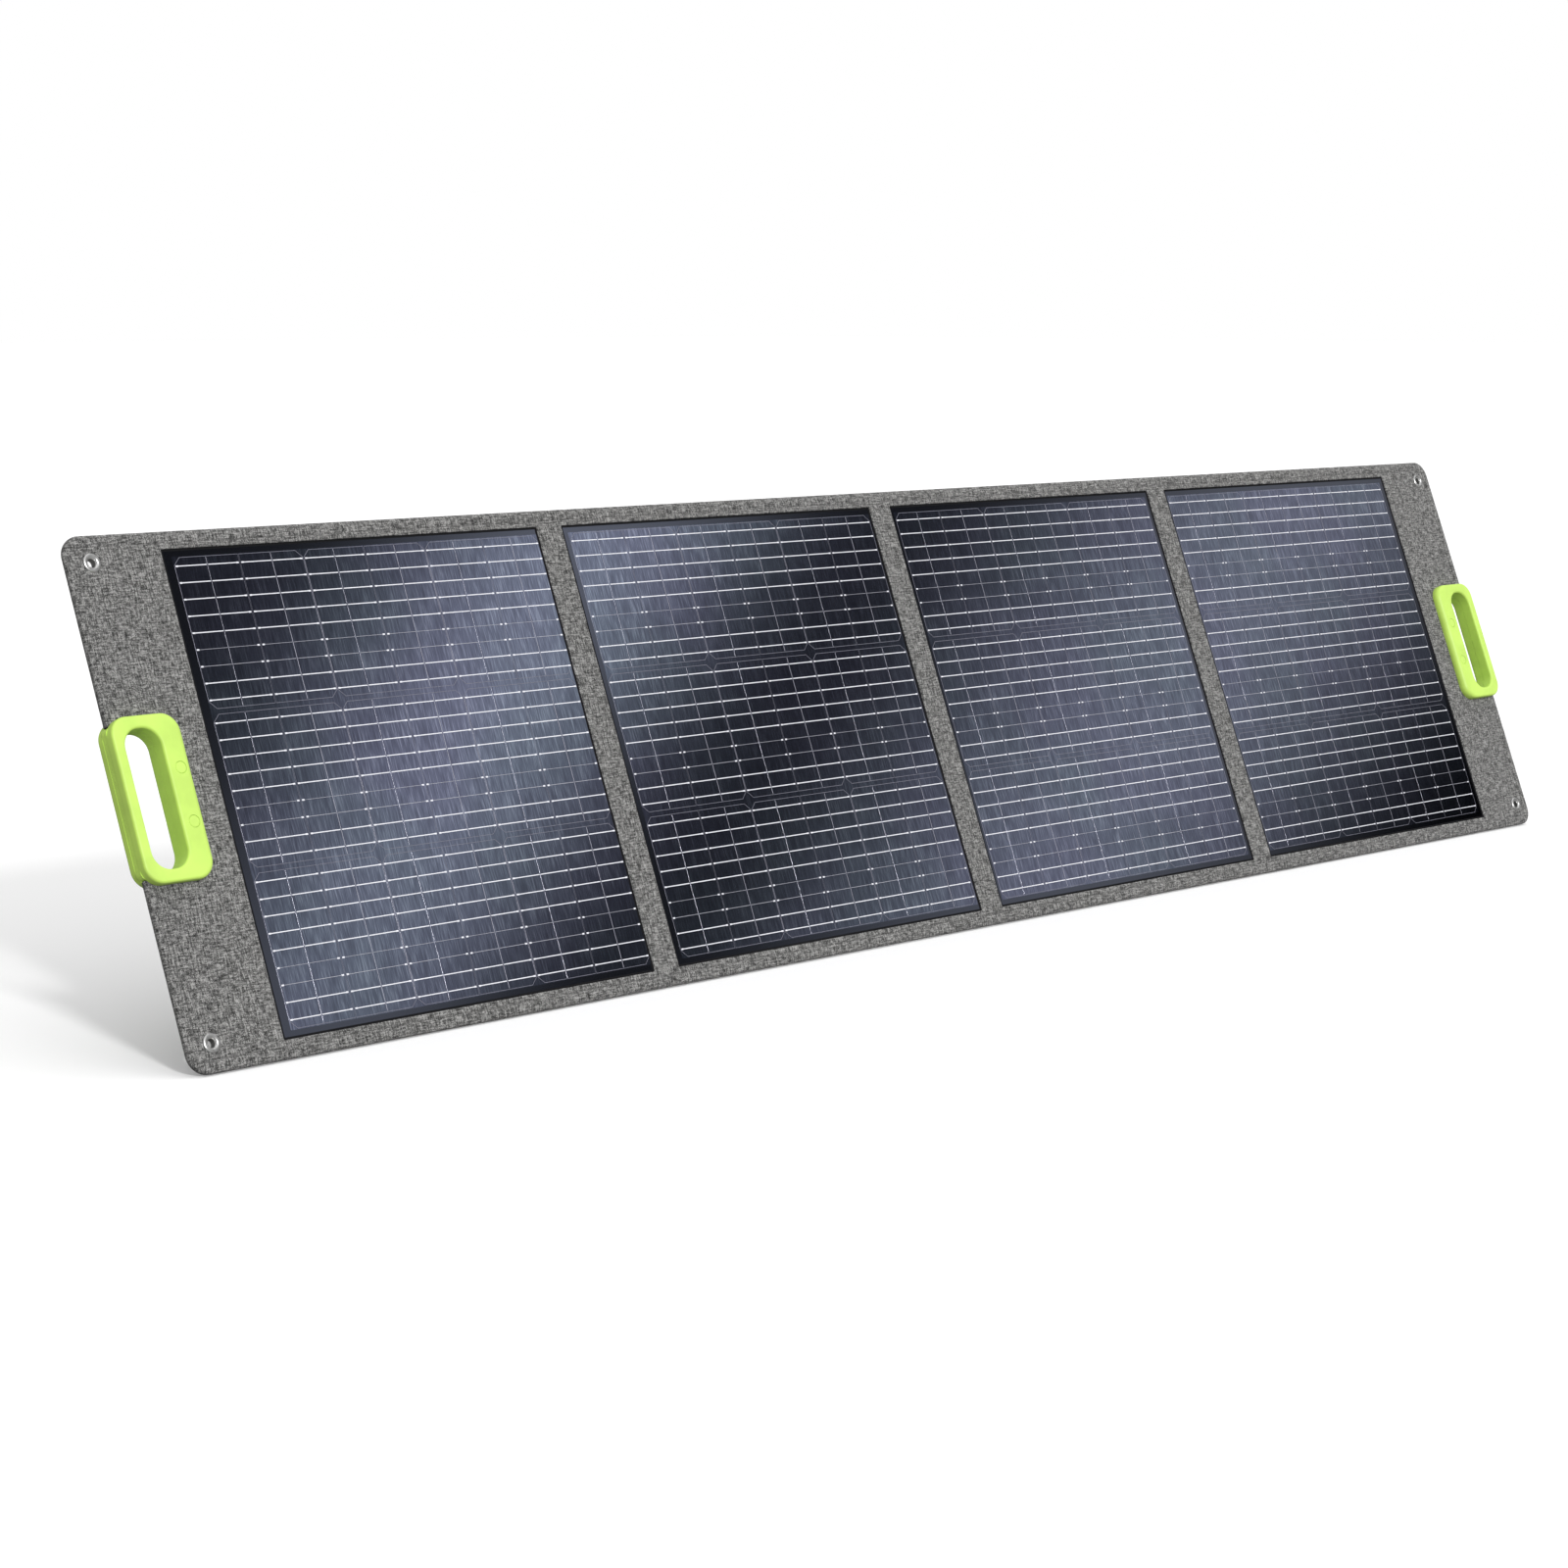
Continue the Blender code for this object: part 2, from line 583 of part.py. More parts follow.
def add_output_box(panel):
    """The output box on the back cover inside the pouch, with its diode board and socket."""
    x0, x1 = POUCH_X - BOX_WIDTH / 2, POUCH_X + BOX_WIDTH / 2
    y0, y1 = BOX_BOTTOM, BOX_BOTTOM + BOX_HEIGHT
    wall = BOX_WALL
    shape = outline(x0, y0, x1, y1, BOX_CORNER, BOX_CORNER)
    base = plate("output_box_base", shape, BOX_FOOT, BOX_RIM, panel, "black_plastic")
    corner = BOX_CORNER - wall
    space = outline(x0 + wall, y0 + wall, x1 - wall, y1 - wall, corner, corner)
    tools = [as_cutter(plate("box_space", space, BOX_FOOT - wall, BOX_RIM - CUT_REACH, panel, None))]

    y, z = (y0 + y1) / 2, (BOX_FOOT + BOX_RIM) / 2
    turns = [2 * pi * i / 20 for i in range(20)]

    def ring_at(x, radius):
        return [(x, y + radius * cos(turn), z + radius * sin(turn)) for turn in turns]

    rings = [ring_at(x1 - 2 * wall, PORT_RADIUS), ring_at(x1 + wall, PORT_RADIUS)]
    port = loft("socket_port", rings, panel, None)
    cut(base, tools + [as_cutter(port)])
    socket = [
        ring_at(x1 - SOCKET_REACH, SOCKET_RADIUS),
        ring_at(x1 + GAP, SOCKET_RADIUS),
        ring_at(x1 + GAP, SOCKET_FLANGE),
        ring_at(x1 + SOCKET_RISE, SOCKET_FLANGE),
        ring_at(x1 + SOCKET_RISE, SOCKET_MOUTH),
        ring_at(x1 - SOCKET_FLOOR, SOCKET_MOUTH),
        ring_at(x1 - SOCKET_FLOOR, SOCKET_PIN),
        ring_at(x1 - SOCKET_PIN_TIP, SOCKET_PIN),
    ]
    loft("output_socket", socket, panel, "black_plastic")

    lid_z = BOX_RIM - GAP
    plate("output_box_lid", shape, lid_z, lid_z - LID_THICK, panel, "black_plastic")
    inset = DIODE_BOARD_INSET
    board = outline(x0 + inset, y0 + inset, x1 - DIODE_BOARD_END, y1 - inset)
    board_z = BOX_FOOT - DIODE_BOARD_RISE
    plate("diode_board", board, board_z, board_z - DIODE_BOARD_THICK, panel, "circuit_board")


def build():
    clear_scene()
    frame = bpy.data.objects.new("panel_frame", None)
    bpy.context.scene.collection.objects.link(frame)
    frame.location = (0.0, DEPTH_SHIFT, LIFT)
    frame.rotation_euler = (LEAN, 0.0, 0.0)
    frame["origin"] = (0.0, 0.0, 0.0)
    bodies = [axis_empty("panel_1", frame, (0.0, 0.0, 0.0))]
    for number, axis_z in enumerate((FRONT_FOLD_AXIS, REAR_FOLD_AXIS, FRONT_FOLD_AXIS), start=1):
        fold = (fold_line(number), 0.0, axis_z)
        bodies.append(axis_empty(f"panel_{number + 1}", bodies[-1], fold))
    for number, body in enumerate(bodies, start=1):
        add_panel(number, body)
    for name, side, body in (("left", -1, bodies[0]), ("right", 1, bodies[-1])):
        add_handle(name, side, body)
        add_eyelets(name, side, body)
        add_stand(name, side, body)
    add_pouch(bodies[-1])
    add_output_box(bodies[-1])


build()
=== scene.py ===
"""The looks of the open solar suitcase: woven covers, solar laminates, moulded handles and the gear behind.

The pieces are modelled in panel coordinates, x along the open row, y up the panels' face and z out of
their front, and then put in place by the frame read from the fold joints. The kickstands' pieces are
modelled in the kickstand's own coordinates, which stand_place puts in place.
"""

import json
from math import cos, pi, radians, sin, sqrt

import bmesh
import bpy
import numpy as np
from mathutils import Matrix, Vector
from mathutils.geometry import tessellate_polygon


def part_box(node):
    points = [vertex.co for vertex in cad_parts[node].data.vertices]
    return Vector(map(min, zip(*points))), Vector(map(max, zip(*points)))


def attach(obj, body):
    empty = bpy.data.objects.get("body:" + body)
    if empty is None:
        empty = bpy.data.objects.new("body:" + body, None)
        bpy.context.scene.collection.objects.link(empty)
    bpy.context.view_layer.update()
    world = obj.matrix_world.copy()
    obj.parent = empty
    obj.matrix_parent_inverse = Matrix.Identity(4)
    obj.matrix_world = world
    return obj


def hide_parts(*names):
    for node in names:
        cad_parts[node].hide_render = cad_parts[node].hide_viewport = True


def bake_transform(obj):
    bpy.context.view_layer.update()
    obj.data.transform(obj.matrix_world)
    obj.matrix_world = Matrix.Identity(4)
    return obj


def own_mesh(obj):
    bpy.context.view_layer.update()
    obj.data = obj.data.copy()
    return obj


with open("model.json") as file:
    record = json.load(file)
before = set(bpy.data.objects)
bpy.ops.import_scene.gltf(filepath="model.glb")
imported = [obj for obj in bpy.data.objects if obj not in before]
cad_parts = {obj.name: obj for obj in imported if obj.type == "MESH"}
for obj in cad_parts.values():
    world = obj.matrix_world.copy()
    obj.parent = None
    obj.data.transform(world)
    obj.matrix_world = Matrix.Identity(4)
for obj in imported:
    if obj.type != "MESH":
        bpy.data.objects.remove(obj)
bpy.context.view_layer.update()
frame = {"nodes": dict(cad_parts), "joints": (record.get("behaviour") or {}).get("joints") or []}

JOINTS = {joint["name"]: joint for joint in frame["joints"]}

# The open row, as in the CAD model
LAMINATE_WIDTH = 0.4965
LAMINATE_HEIGHT = 0.507
FOLD_STRIP = 0.036
END_MARGIN = 0.113
EDGE_MARGIN = 0.019
CORNER_RADIUS = 0.0215
PANELS = 4
FRONT_FOLD_AXIS = 0.004
FOLDS = [JOINTS[name]["pos_m"][0] for name in ("fold_a", "fold_b", "fold_c")]
END = -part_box("cover_rear_1")[0].x
HEIGHT = LAMINATE_HEIGHT + 2 * EDGE_MARGIN
MIDDLE = HEIGHT / 2
PITCH = LAMINATE_WIDTH + FOLD_STRIP

# Heights of the layers over the covers' front, and the bend at a fold
BACK = -0.0077
WALL_END = -0.0069
CENTRE = BACK / 2
LAMINATE_FRONT = -0.0015
BEND = 0.013
CREASE_DEPTH = 0.22

# Handles and eyelets
HANDLE_OUTER = -0.0035
HANDLE_INNER = 0.079
HANDLE_HEIGHT = 0.1685
HANDLE_CORNER = 0.020
SLOT_OUTER = 0.009
SLOT_INNER = 0.051
SLOT_HEIGHT = 0.142
SLOT_RADIUS = 0.0192
HANDLE_FRONT = 0.0105
HANDLE_BACK = BACK - 0.0098
HANDLE_ROUNDING = 0.0030
HANDLE_SHOULDER = 0.0080
NOTCH_INNER = 0.058
NOTCH_HEIGHT = 0.155
NOTCH_CORNER = 0.008
SCREW_INSET = 0.0655
SCREW_SPACING = 0.055
EYELET_INSET = 0.029
EYELET_HOLE = 0.006

# Kickstands and pouch
STAND_X = 0.700
STAND_HINGE_Y = 0.400
STAND_HINGE_Z = BACK - 0.0048
STAND_OPEN = radians(JOINTS["left_stand_hinge"]["range_deg"][1])
STAND_HALF = 0.105
STAND_CORNER = 0.022
STAND_FACE = 0.0025
STAND_TOP = -0.003
FOOT_WIDTH = 0.164
FOOT_HALF = 0.0043
FOOT_LIP = 0.012
FOOT_SOLE = 0.007
FOOT_GROOVES = 3
GROOVE_PITCH = 0.0038
STRAP_HALF_WIDTH = 0.0125
STRAP_HALF = 0.0006
SNAP_Y = 0.070
POUCH_X = 0.950
POUCH_WIDTH = 0.190
POUCH_BOTTOM = 0.080
POUCH_TOP = 0.300
POUCH_BACK = BACK - 0.0263
POUCH_THICK = 0.0011
FLAP_AXIS_Y = 0.301
FLAP_AXIS_Z = BACK - 0.0015
FLAP_LENGTH = 0.062
FLAP_BACK = POUCH_BACK - 0.0037

SEAM_INSET = 0.0126
STITCH_LENGTH = 0.0030
STITCH_PITCH = 0.0042

UP = -Vector(JOINTS["fold_a"]["axis"]).normalized()
OUT = Vector((0.0, -UP.z, UP.y))
ORIGIN = Vector(JOINTS["fold_a"]["pos_m"]) - FRONT_FOLD_AXIS * OUT
ORIGIN.x = 0.0
PANEL = Matrix.Translation(ORIGIN) @ Matrix(
    ((1.0, 0.0, 0.0, 0.0), (0.0, UP.y, OUT.y, 0.0), (0.0, UP.z, OUT.z, 0.0), (0.0, 0.0, 0.0, 1.0))
)


# ---------------------------------------------------------------- camera


def add_camera():
    camera = bpy.data.objects.new("camera", bpy.data.cameras.new("camera"))
    bpy.context.scene.collection.objects.link(camera)
    camera.data.lens = 78.85
    camera.data.sensor_width = 36.0
    camera.location = (-3.0414, -2.8011, 0.7293)
    azimuth, drop = radians(45.25), radians(7.884)
    ahead = Vector((sin(azimuth) * cos(drop), cos(azimuth) * cos(drop), -sin(drop)))
    camera.rotation_euler = ahead.to_track_quat("-Z", "Y").to_euler()
    camera.data.clip_end = 500.0
    bpy.context.scene.camera = camera


# ---------------------------------------------------------------- materials


class Nodes:
    """Short calls for making the node tree of one material, or of the world."""

    def __init__(self, owner, shader="Principled BSDF"):
        if isinstance(owner, str):
            owner = bpy.data.materials.new(owner)
        owner.use_nodes = True
        self.material = owner
        self.tree = owner.node_tree
        self.shader = self.tree.nodes[shader]

    def put(self, socket, value):
        if isinstance(value, bpy.types.NodeSocket):
            self.tree.links.new(value, socket)
        else:
            socket.default_value = value

    def node(self, kind, settings=None, output=0, **inputs):
        made = self.tree.nodes.new("ShaderNode" + kind)
        for key, value in (settings or {}).items():
            setattr(made, key, value)
        for key, value in inputs.items():
            self.put(made.inputs[key.replace("_", " ")], value)
        return made.outputs[output]

    def dot(self, vector, direction):
        made = self.tree.nodes.new("ShaderNodeVectorMath")
        made.operation = "DOT_PRODUCT"
        self.put(made.inputs[0], vector)
        self.put(made.inputs[1], tuple(direction))
        return made.outputs["Value"]

    def math(self, operation, *values):
        made = self.tree.nodes.new("ShaderNodeMath")
        made.operation = operation
        for socket, value in zip(made.inputs, values):
            self.put(socket, value)
        return made.outputs[0]

    def plus(self, a, b):
        return self.math("ADD", a, b)

    def times(self, a, b):
        return self.math("MULTIPLY", a, b)

    def over(self, a, b):
        return self.math("DIVIDE", a, b)

    def swing(self, value, middle, share):
        """How far a value lies from its middle, times a share."""
        return self.times(self.math("SUBTRACT", value, middle), share)

    def xyz(self, x, y, z=0.0):
        return self.node("CombineXYZ", X=x, Y=y, Z=z)

    def cloth_xy(self):
        made = self.tree.nodes.new("ShaderNodeSeparateXYZ")
        self.tree.links.new(self.node("UVMap", {"uv_map": "flat"}), made.inputs[0])
        return made.outputs[0], made.outputs[1]

    def object_point(self):
        return self.node("TexCoord", output=3)

    def noise(self, vector, scale, detail=2.0, roughness=0.5):
        return self.node("TexNoise", Vector=vector, Scale=scale, Detail=detail, Roughness=roughness)

    def streaks(self, x, y, across, along, seed=0.0, detail=2.0, roughness=0.5):
        """Noise stretched into streaks: how many per metre each way."""
        return self.noise(self.xyz(self.times(x, across), self.times(y, along), seed), 1.0, detail, roughness)

    def ramp(self, factor, stops, interpolation="LINEAR"):
        made = self.tree.nodes.new("ShaderNodeValToRGB")
        made.color_ramp.interpolation = interpolation
        self.put(made.inputs[0], factor)
        elements = made.color_ramp.elements
        while len(elements) < len(stops):
            elements.new(0.5)
        for element, (place, colour) in zip(elements, stops):
            element.position = place
            element.color = (*colour, 1.0)
        return made.outputs[0]

    def mix(self, factor, a, b, blend="MIX"):
        made = self.tree.nodes.new("ShaderNodeMix")
        made.data_type = "RGBA"
        made.blend_type = blend
        self.put(made.inputs[0], factor)
        self.put(made.inputs[6], a)
        self.put(made.inputs[7], b)
        return made.outputs[2]

    def bump(self, height, distance, strength):
        return self.node("Bump", Height=height, Distance=distance, Strength=strength)

    def finish(self, **inputs):
        for key, value in inputs.items():
            self.put(self.shader.inputs[key.replace("_", " ")], value)
        return self.material


def grey(value):
    return (value, value * 0.99, value * 0.965)


def woven(name, dark, middle, light, pitch=0.00095):
    """A plain weave of mottled yarns with slubs both ways, in the cloth's own flat coordinates."""
    made = Nodes(name)
    x, y = made.cloth_xy()
    across, along = made.over(x, pitch), made.over(y, pitch)
    warp, weft = made.math("FLOOR", across), made.math("FLOOR", along)
    turn = made.math("MODULO", made.math("ABSOLUTE", made.plus(warp, weft)), 2.0)
    warp_tone = made.streaks(warp, y, 7.13, 190.0, 0.0, 2.0, 0.6)
    weft_tone = made.streaks(weft, x, 7.13, 190.0, 9.0, 2.0, 0.6)
    yarn = made.node("Mix", {"data_type": "FLOAT"}, Factor=turn, A=warp_tone, B=weft_tone)
    fleck = made.node("TexWhiteNoise", {"noise_dimensions": "2D"}, Vector=made.xyz(warp, weft))
    slubs = made.plus(made.streaks(x, y, 560.0, 85.0, 3.0, 1.0), made.streaks(y, x, 560.0, 85.0, 5.0, 1.0))
    cloud = made.noise(made.xyz(x, y), 24.0, 3.0)
    tone = made.plus(yarn, made.swing(fleck, 0.5, 0.34))
    tone = made.plus(tone, made.swing(slubs, 1.0, 0.80))
    tone = made.plus(tone, made.swing(cloud, 0.5, 0.06))
    colour = made.ramp(tone, [(0.20, grey(dark)), (0.5, grey(middle)), (0.80, grey(light))])
    arches = [made.math("SINE", made.times(made.math("FRACT", way), pi)) for way in (across, along)]
    height = made.plus(made.times(*arches), made.times(yarn, 1.2))
    return made.finish(
        Base_Color=colour,
        Roughness=0.88,
        Sheen_Weight=0.12,
        Sheen_Roughness=0.5,
        Specular_IOR_Level=0.25,
        Normal=made.bump(height, 0.00022, 0.75),
    )


def webbing(name, tone):
    """Ribbed narrow webbing: a chevron of fine ribs across the strap."""
    chevron, rib_pitch = 0.003, 0.0016
    made = Nodes(name)
    x, y = made.cloth_xy()
    slant = made.plus(y, made.times(made.math("PINGPONG", x, chevron), 0.8))
    ribs = made.math("SINE", made.times(slant, 2 * pi / rib_pitch))
    fibres = made.noise(made.xyz(made.times(x, 6.0), y), 900.0, 2.0)
    return made.finish(
        Base_Color=made.ramp(fibres, [(0.3, grey(tone * 0.6)), (0.7, grey(tone * 1.6))]),
        Roughness=0.8,
        Sheen_Weight=0.15,
        Normal=made.bump(made.plus(ribs, fibres), 0.0002, 0.8),
    )


# How the laminates shine under their satin clear sheet
CLEAR_SHEET = {"Metallic": 1.0, "Roughness": 0.095, "Coat_Weight": 0.3, "Coat_Roughness": 0.06}


def cell_silicon():
    """Blue-black silicon with fine fingers across the ribbons, under a satin clear sheet."""
    made = Nodes("solar_cell")
    x, y = made.cloth_xy()
    fingers = made.streaks(x, y, 560.0, 34.0, roughness=0.65)
    groups = made.streaks(x, y, 60.0, 20.0, 4.0)
    hairs = made.streaks(x, y, 1150.0, 60.0, 7.0, 0.0)
    streak = made.plus(fingers, made.swing(groups, 0.5, 0.35))
    streak = made.plus(streak, made.swing(hairs, 0.5, 0.30))
    dark, middle, light = (0.095, 0.108, 0.157), (0.144, 0.165, 0.233), (0.300, 0.339, 0.432)
    base = made.ramp(streak, [(0.30, dark), (0.52, middle), (0.78, light)])
    drift = made.noise(made.xyz(x, y), 5.0, 1.0)
    tint = made.ramp(drift, [(0.38, (1.0, 0.955, 1.03)), (0.62, (0.96, 1.0, 0.99))])
    return made.finish(Base_Color=made.mix(1.0, base, tint, "MULTIPLY"), **CLEAR_SHEET)


def laminate_black():
    """The black backsheet round the cells, under the same satin clear sheet."""
    made = Nodes("laminate_black")
    x, y = made.cloth_xy()
    grain = made.noise(made.xyz(x, y), 1800.0, 2.0)
    colour = made.ramp(grain, [(0.3, (0.064, 0.072, 0.099)), (0.7, (0.082, 0.092, 0.124))])
    return made.finish(Base_Color=colour, **CLEAR_SHEET)


def rim_black_and_shade():
    """A dull near-black band in the joint between a laminate and its cover: a dark joint, and also painted
    shade where the cover's cut edge shades the laminate's edge.
    """
    made = Nodes("rim_black_and_shade")
    grain = made.noise(made.object_point(), 1500.0, 3.0)
    return made.finish(
        Base_Color=made.ramp(grain, [(0.3, (0.004, 0.004, 0.005)), (0.7, (0.012, 0.012, 0.013))]),
        Roughness=0.9,
        Specular_IOR_Level=0.1,
    )


def tinned(name, tone, metallic=0.25, blue=1.0):
    """Tinned or silvered conductors seen through the clear sheet."""
    made = Nodes(name)
    x, y = made.cloth_xy()
    grain = made.streaks(x, y, 120.0, 1500.0)
    low, high = ((tone * share / blue, tone * share / blue, tone * share) for share in (0.84, 1.0))
    return made.finish(
        Base_Color=made.ramp(grain, [(0.3, low), (0.7, high)]),
        Metallic=metallic,
        Roughness=0.25,
        Coat_Weight=0.5,
        Coat_Roughness=0.14,
    )


def moulded(name, colour, roughness, wear=0.06, bump=0.00006):
    """Moulded plastic with a fine spark-eroded grain and slight tone drift."""
    made = Nodes(name)
    point = made.object_point()
    grain = made.noise(point, 1400.0, 3.0)
    drift = made.noise(point, 30.0, 3.0)
    low = tuple(channel * (1 - wear) for channel in colour)
    high = tuple(min(channel * (1 + wear), 1.0) for channel in colour)
    return made.finish(
        Base_Color=made.ramp(drift, [(0.35, low), (0.65, high)]),
        Roughness=made.node("MapRange", Value=grain, To_Min=roughness - 0.06, To_Max=roughness + 0.06),
        Normal=made.bump(grain, bump, 0.6),
    )


def plated(name, tone, roughness):
    made = Nodes(name)
    point = made.object_point()
    scuff = made.noise(point, 260.0, 3.0, 0.5)
    dull, bright = (tone * 0.86, tone * 0.86, tone * 0.84), (tone, tone, tone * 0.985)
    colour = made.ramp(scuff, [(0.3, dull), (0.6, bright)])
    rough = made.node("MapRange", Value=scuff, To_Min=roughness * 0.85, To_Max=roughness * 1.2)
    return made.finish(
        Base_Color=colour, Metallic=1.0, Roughness=rough, Normal=made.bump(scuff, 0.00003, 0.3)
    )


def rubber(name, tone):
    made = Nodes(name)
    grain = made.noise(made.object_point(), 900.0, 4.0)
    return made.finish(
        Base_Color=made.ramp(grain, [(0.3, grey(tone * 0.7)), (0.7, grey(tone * 1.5))]),
        Roughness=0.75,
        Normal=made.bump(grain, 0.00012, 0.6),
    )


def circuit_board():
    made = Nodes("circuit_board")
    tracks = made.node("TexBrick", output=1, Vector=made.object_point(), Scale=260.0)
    colour = made.ramp(tracks, [(0.0, (0.01, 0.10, 0.04)), (1.0, (0.05, 0.22, 0.09))])
    return made.finish(Base_Color=colour, Roughness=0.4)


def fibreboard():
    made = Nodes("fibreboard")
    fibres = made.noise(made.object_point(), 500.0, 5.0, 0.7)
    return made.finish(
        Base_Color=made.ramp(fibres, [(0.3, (0.16, 0.15, 0.13)), (0.7, (0.30, 0.28, 0.25))]),
        Roughness=0.85,
        Normal=made.bump(fibres, 0.0002, 0.6),
    )


MATERIALS = {
    "fabric": woven("melange_fabric", 0.020, 0.124, 0.34),
    "rear_fabric": woven("rear_fabric", 0.016, 0.055, 0.15),
    "thread": webbing("seam_thread", 0.07),
    "pale_thread": webbing("pale_thread", 0.16),
    "laminate": laminate_black(),
    "cell": cell_silicon(),
    "rim": rim_black_and_shade(),
    "ribbon": tinned("solder_ribbon", 0.98, 0.15, 1.07),
    "faint_ribbon": tinned("faint_ribbon", 0.62, 0.3, 1.12),
    "cell_edge": tinned("cell_edge", 0.34, 0.5, 1.22),
    "cell_line": tinned("cell_line", 0.60, 0.5, 1.18),
    "lime_plastic": moulded("lime_plastic", (0.52, 0.755, 0.128), 0.48),
    "black_plastic": moulded("black_plastic", (0.022, 0.022, 0.023), 0.5, 0.2),
    "plated_metal": plated("plated_metal", 0.86, 0.34),
    # Used only for the sleeve inside each eyelet's bore: a darker metal that paints shade into the hole
    "bore_shade_metal": plated("bore_shade_metal", 0.30, 0.55),
    "screw_steel": plated("screw_steel", 0.55, 0.35),
    "rubber": rubber("black_rubber", 0.025),
    "webbing": webbing("black_webbing", 0.03),
    "circuit_board": circuit_board(),
    "board": fibreboard(),
}


# ---------------------------------------------------------------- meshes


class Shape:
    """A mesh in panel coordinates. Each point also has a place on the cloth laid flat, for its weave."""

    def __init__(self):
        self.points = []
        self.flat = []
        self.faces = []

    def row(self, points, flat=None):
        start = len(self.points)
        self.points += [tuple(point) for point in points]
        self.flat += [tuple(place[:2]) for place in (flat or points)]
        return list(range(start, len(self.points)))

    def bridge(self, low, high, closed=False):
        count = len(low)
        for i in range(count if closed else count - 1):
            j = (i + 1) % count
            self.faces.append((low[i], low[j], high[j], high[i]))

    def loft(self, rows, closed=False):
        """Faces from each row to the next."""
        for low, high in zip(rows, rows[1:]):
            self.bridge(low, high, closed)

    def tube(self, rows):
        """A closed solid through a stack of rings."""
        self.loft(rows, closed=True)
        self.faces += [tuple(reversed(rows[0])), tuple(rows[-1])]

    def band(self, rows):
        """A closed solid through a stack of flat rings, whose ends are strips of quads."""
        self.loft(rows, closed=True)
        for row in (rows[0], rows[-1]):
            self.faces += [(row[i], row[i + 1], row[-2 - i], row[-1 - i]) for i in range(len(row) // 2 - 1)]

    def fill(self, rim, holes=()):
        loops = [rim, *holes]
        order = [index for loop in loops for index in loop]
        lines = [[Vector(self.points[index]) for index in loop] for loop in loops]
        self.faces += [tuple(order[corner] for corner in triangle) for triangle in tessellate_polygon(lines)]

    def make(self, name, body, finish, facing=0, place=PANEL, slot=None):
        """The finished piece, riding on its body. An open sheet is turned to face along z by facing."""
        data = bpy.data.meshes.new(name)
        data.from_pydata(self.points, [], self.faces)
        flat = data.uv_layers.new(name="flat")
        corners = np.array(self.flat, np.float32)[[loop.vertex_index for loop in data.loops]]
        flat.data.foreach_set("uv", corners.ravel())
        built = bmesh.new()
        built.from_mesh(data)
        bmesh.ops.recalc_face_normals(built, faces=built.faces)
        if facing and facing * sum(face.normal.z * face.calc_area() for face in built.faces) < 0:
            bmesh.ops.reverse_faces(built, faces=built.faces)
        built.to_mesh(data)
        built.free()
        data.transform(place)
        data.shade_smooth()
        data.set_sharp_from_angle(angle=radians(38))
        data.materials.append(MATERIALS[finish])
        piece = bpy.data.objects.new(name, data)
        bpy.context.scene.collection.objects.link(piece)
        if body:
            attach(piece, body)
        return piece


def rectangle(x0, y0, x1, y1, radius=0.0, steps=8):
    """Points anticlockwise round a rectangle with round corners."""
    corners = [
        (x0 + radius, y0 + radius, pi),
        (x1 - radius, y0 + radius, 1.5 * pi),
        (x1 - radius, y1 - radius, 0.0),
        (x0 + radius, y1 - radius, 0.5 * pi),
    ]
    points = []
    for x, y, start in corners:
        for step in range(steps + 1 if radius else 1):
            angle = start + step / steps * pi / 2
            points.append((x + radius * cos(angle), y + radius * sin(angle)))
    return points


def level(points, z):
    return [(x, y, z) for x, y in points]


def circle(x, y, z, radius, sides=48):
    angles = [2 * pi * i / sides for i in range(sides)]
    return [(x + radius * cos(angle), y + radius * sin(angle), z) for angle in angles]


def quarter(steps):
    """Angles over a quarter turn."""
    return [step / steps * pi / 2 for step in range(steps + 1)]


def turned(name, x, y, profile, body, finish, ring=False, sides=48, place=PANEL):
    """A turned piece about z, from (radius, z) points: capped at both ends, or a ring closed on itself."""
    shape = Shape()
    rows = [shape.row(circle(x, y, z, radius, sides)) for radius, z in profile]
    if ring:
        shape.loft(rows + rows[:1], closed=True)
    else:
        shape.tube(rows)
    return shape.make(name, body, finish, place=place)


# The covers' sewn edge, as (inset from the edge, height): round outer wall, then a shallow seam groove
FRONT_EDGE = (
    [(0.0004, WALL_END), (0.0, -0.0055), (0.0, -0.0040)]
    + [(0.006 * (1 - cos(angle)), -0.0030 + 0.0030 * sin(angle)) for angle in quarter(8)]
    + [(0.0085, 0.0002), (0.0110, 0.00005), (0.0120, -0.0004), (SEAM_INSET, -0.0006)]
    + [(0.0132, -0.0004), (0.0140, 0.0), (0.0145, 0.0)]
)
REAR_EDGE = [
    (0.0004, WALL_END),
    (0.0007, -0.0073),
    (0.0015, -0.0076),
    (0.0030, BACK),
    (0.0085, BACK - 0.0002),
    (0.0110, BACK),
    (0.0120, BACK + 0.0003),
    (SEAM_INSET, BACK + 0.0005),
    (0.0132, BACK + 0.0003),
    (0.0140, BACK),
    (0.0145, BACK),
]


def unrolled(profile):
    """Each point's inset once the cloth is laid flat, measured back from the inner end."""
    insets = [profile[-1][0]]
    for (d0, z0), (d1, z1) in zip(reversed(profile[:-1]), reversed(profile[1:])):
        insets.append(insets[-1] - sqrt((d1 - d0) ** 2 + (z1 - z0) ** 2))
    return insets[::-1]


def edge_path(side, row):
    """Points and inward normals along an end panel's lower or upper edge, from its bend to the notch."""
    radius = CORNER_RADIUS
    path = [((FOLDS[0] - BEND, 0.0), (0.0, 1.0))]
    for turned_by in quarter(12):
        angle = 1.5 * pi - turned_by
        spot = (-END + radius + radius * cos(angle), radius + radius * sin(angle))
        path.append((spot, (-cos(angle), -sin(angle))))
    path.append(((-END, MIDDLE - NOTCH_HEIGHT / 2), (1.0, 0.0)))
    if row:
        path = [((x, HEIGHT - y), (nx, -ny)) for (x, y), (nx, ny) in path]
    return [((-side * x, y), (-side * nx, ny)) for (x, y), (nx, ny) in path]


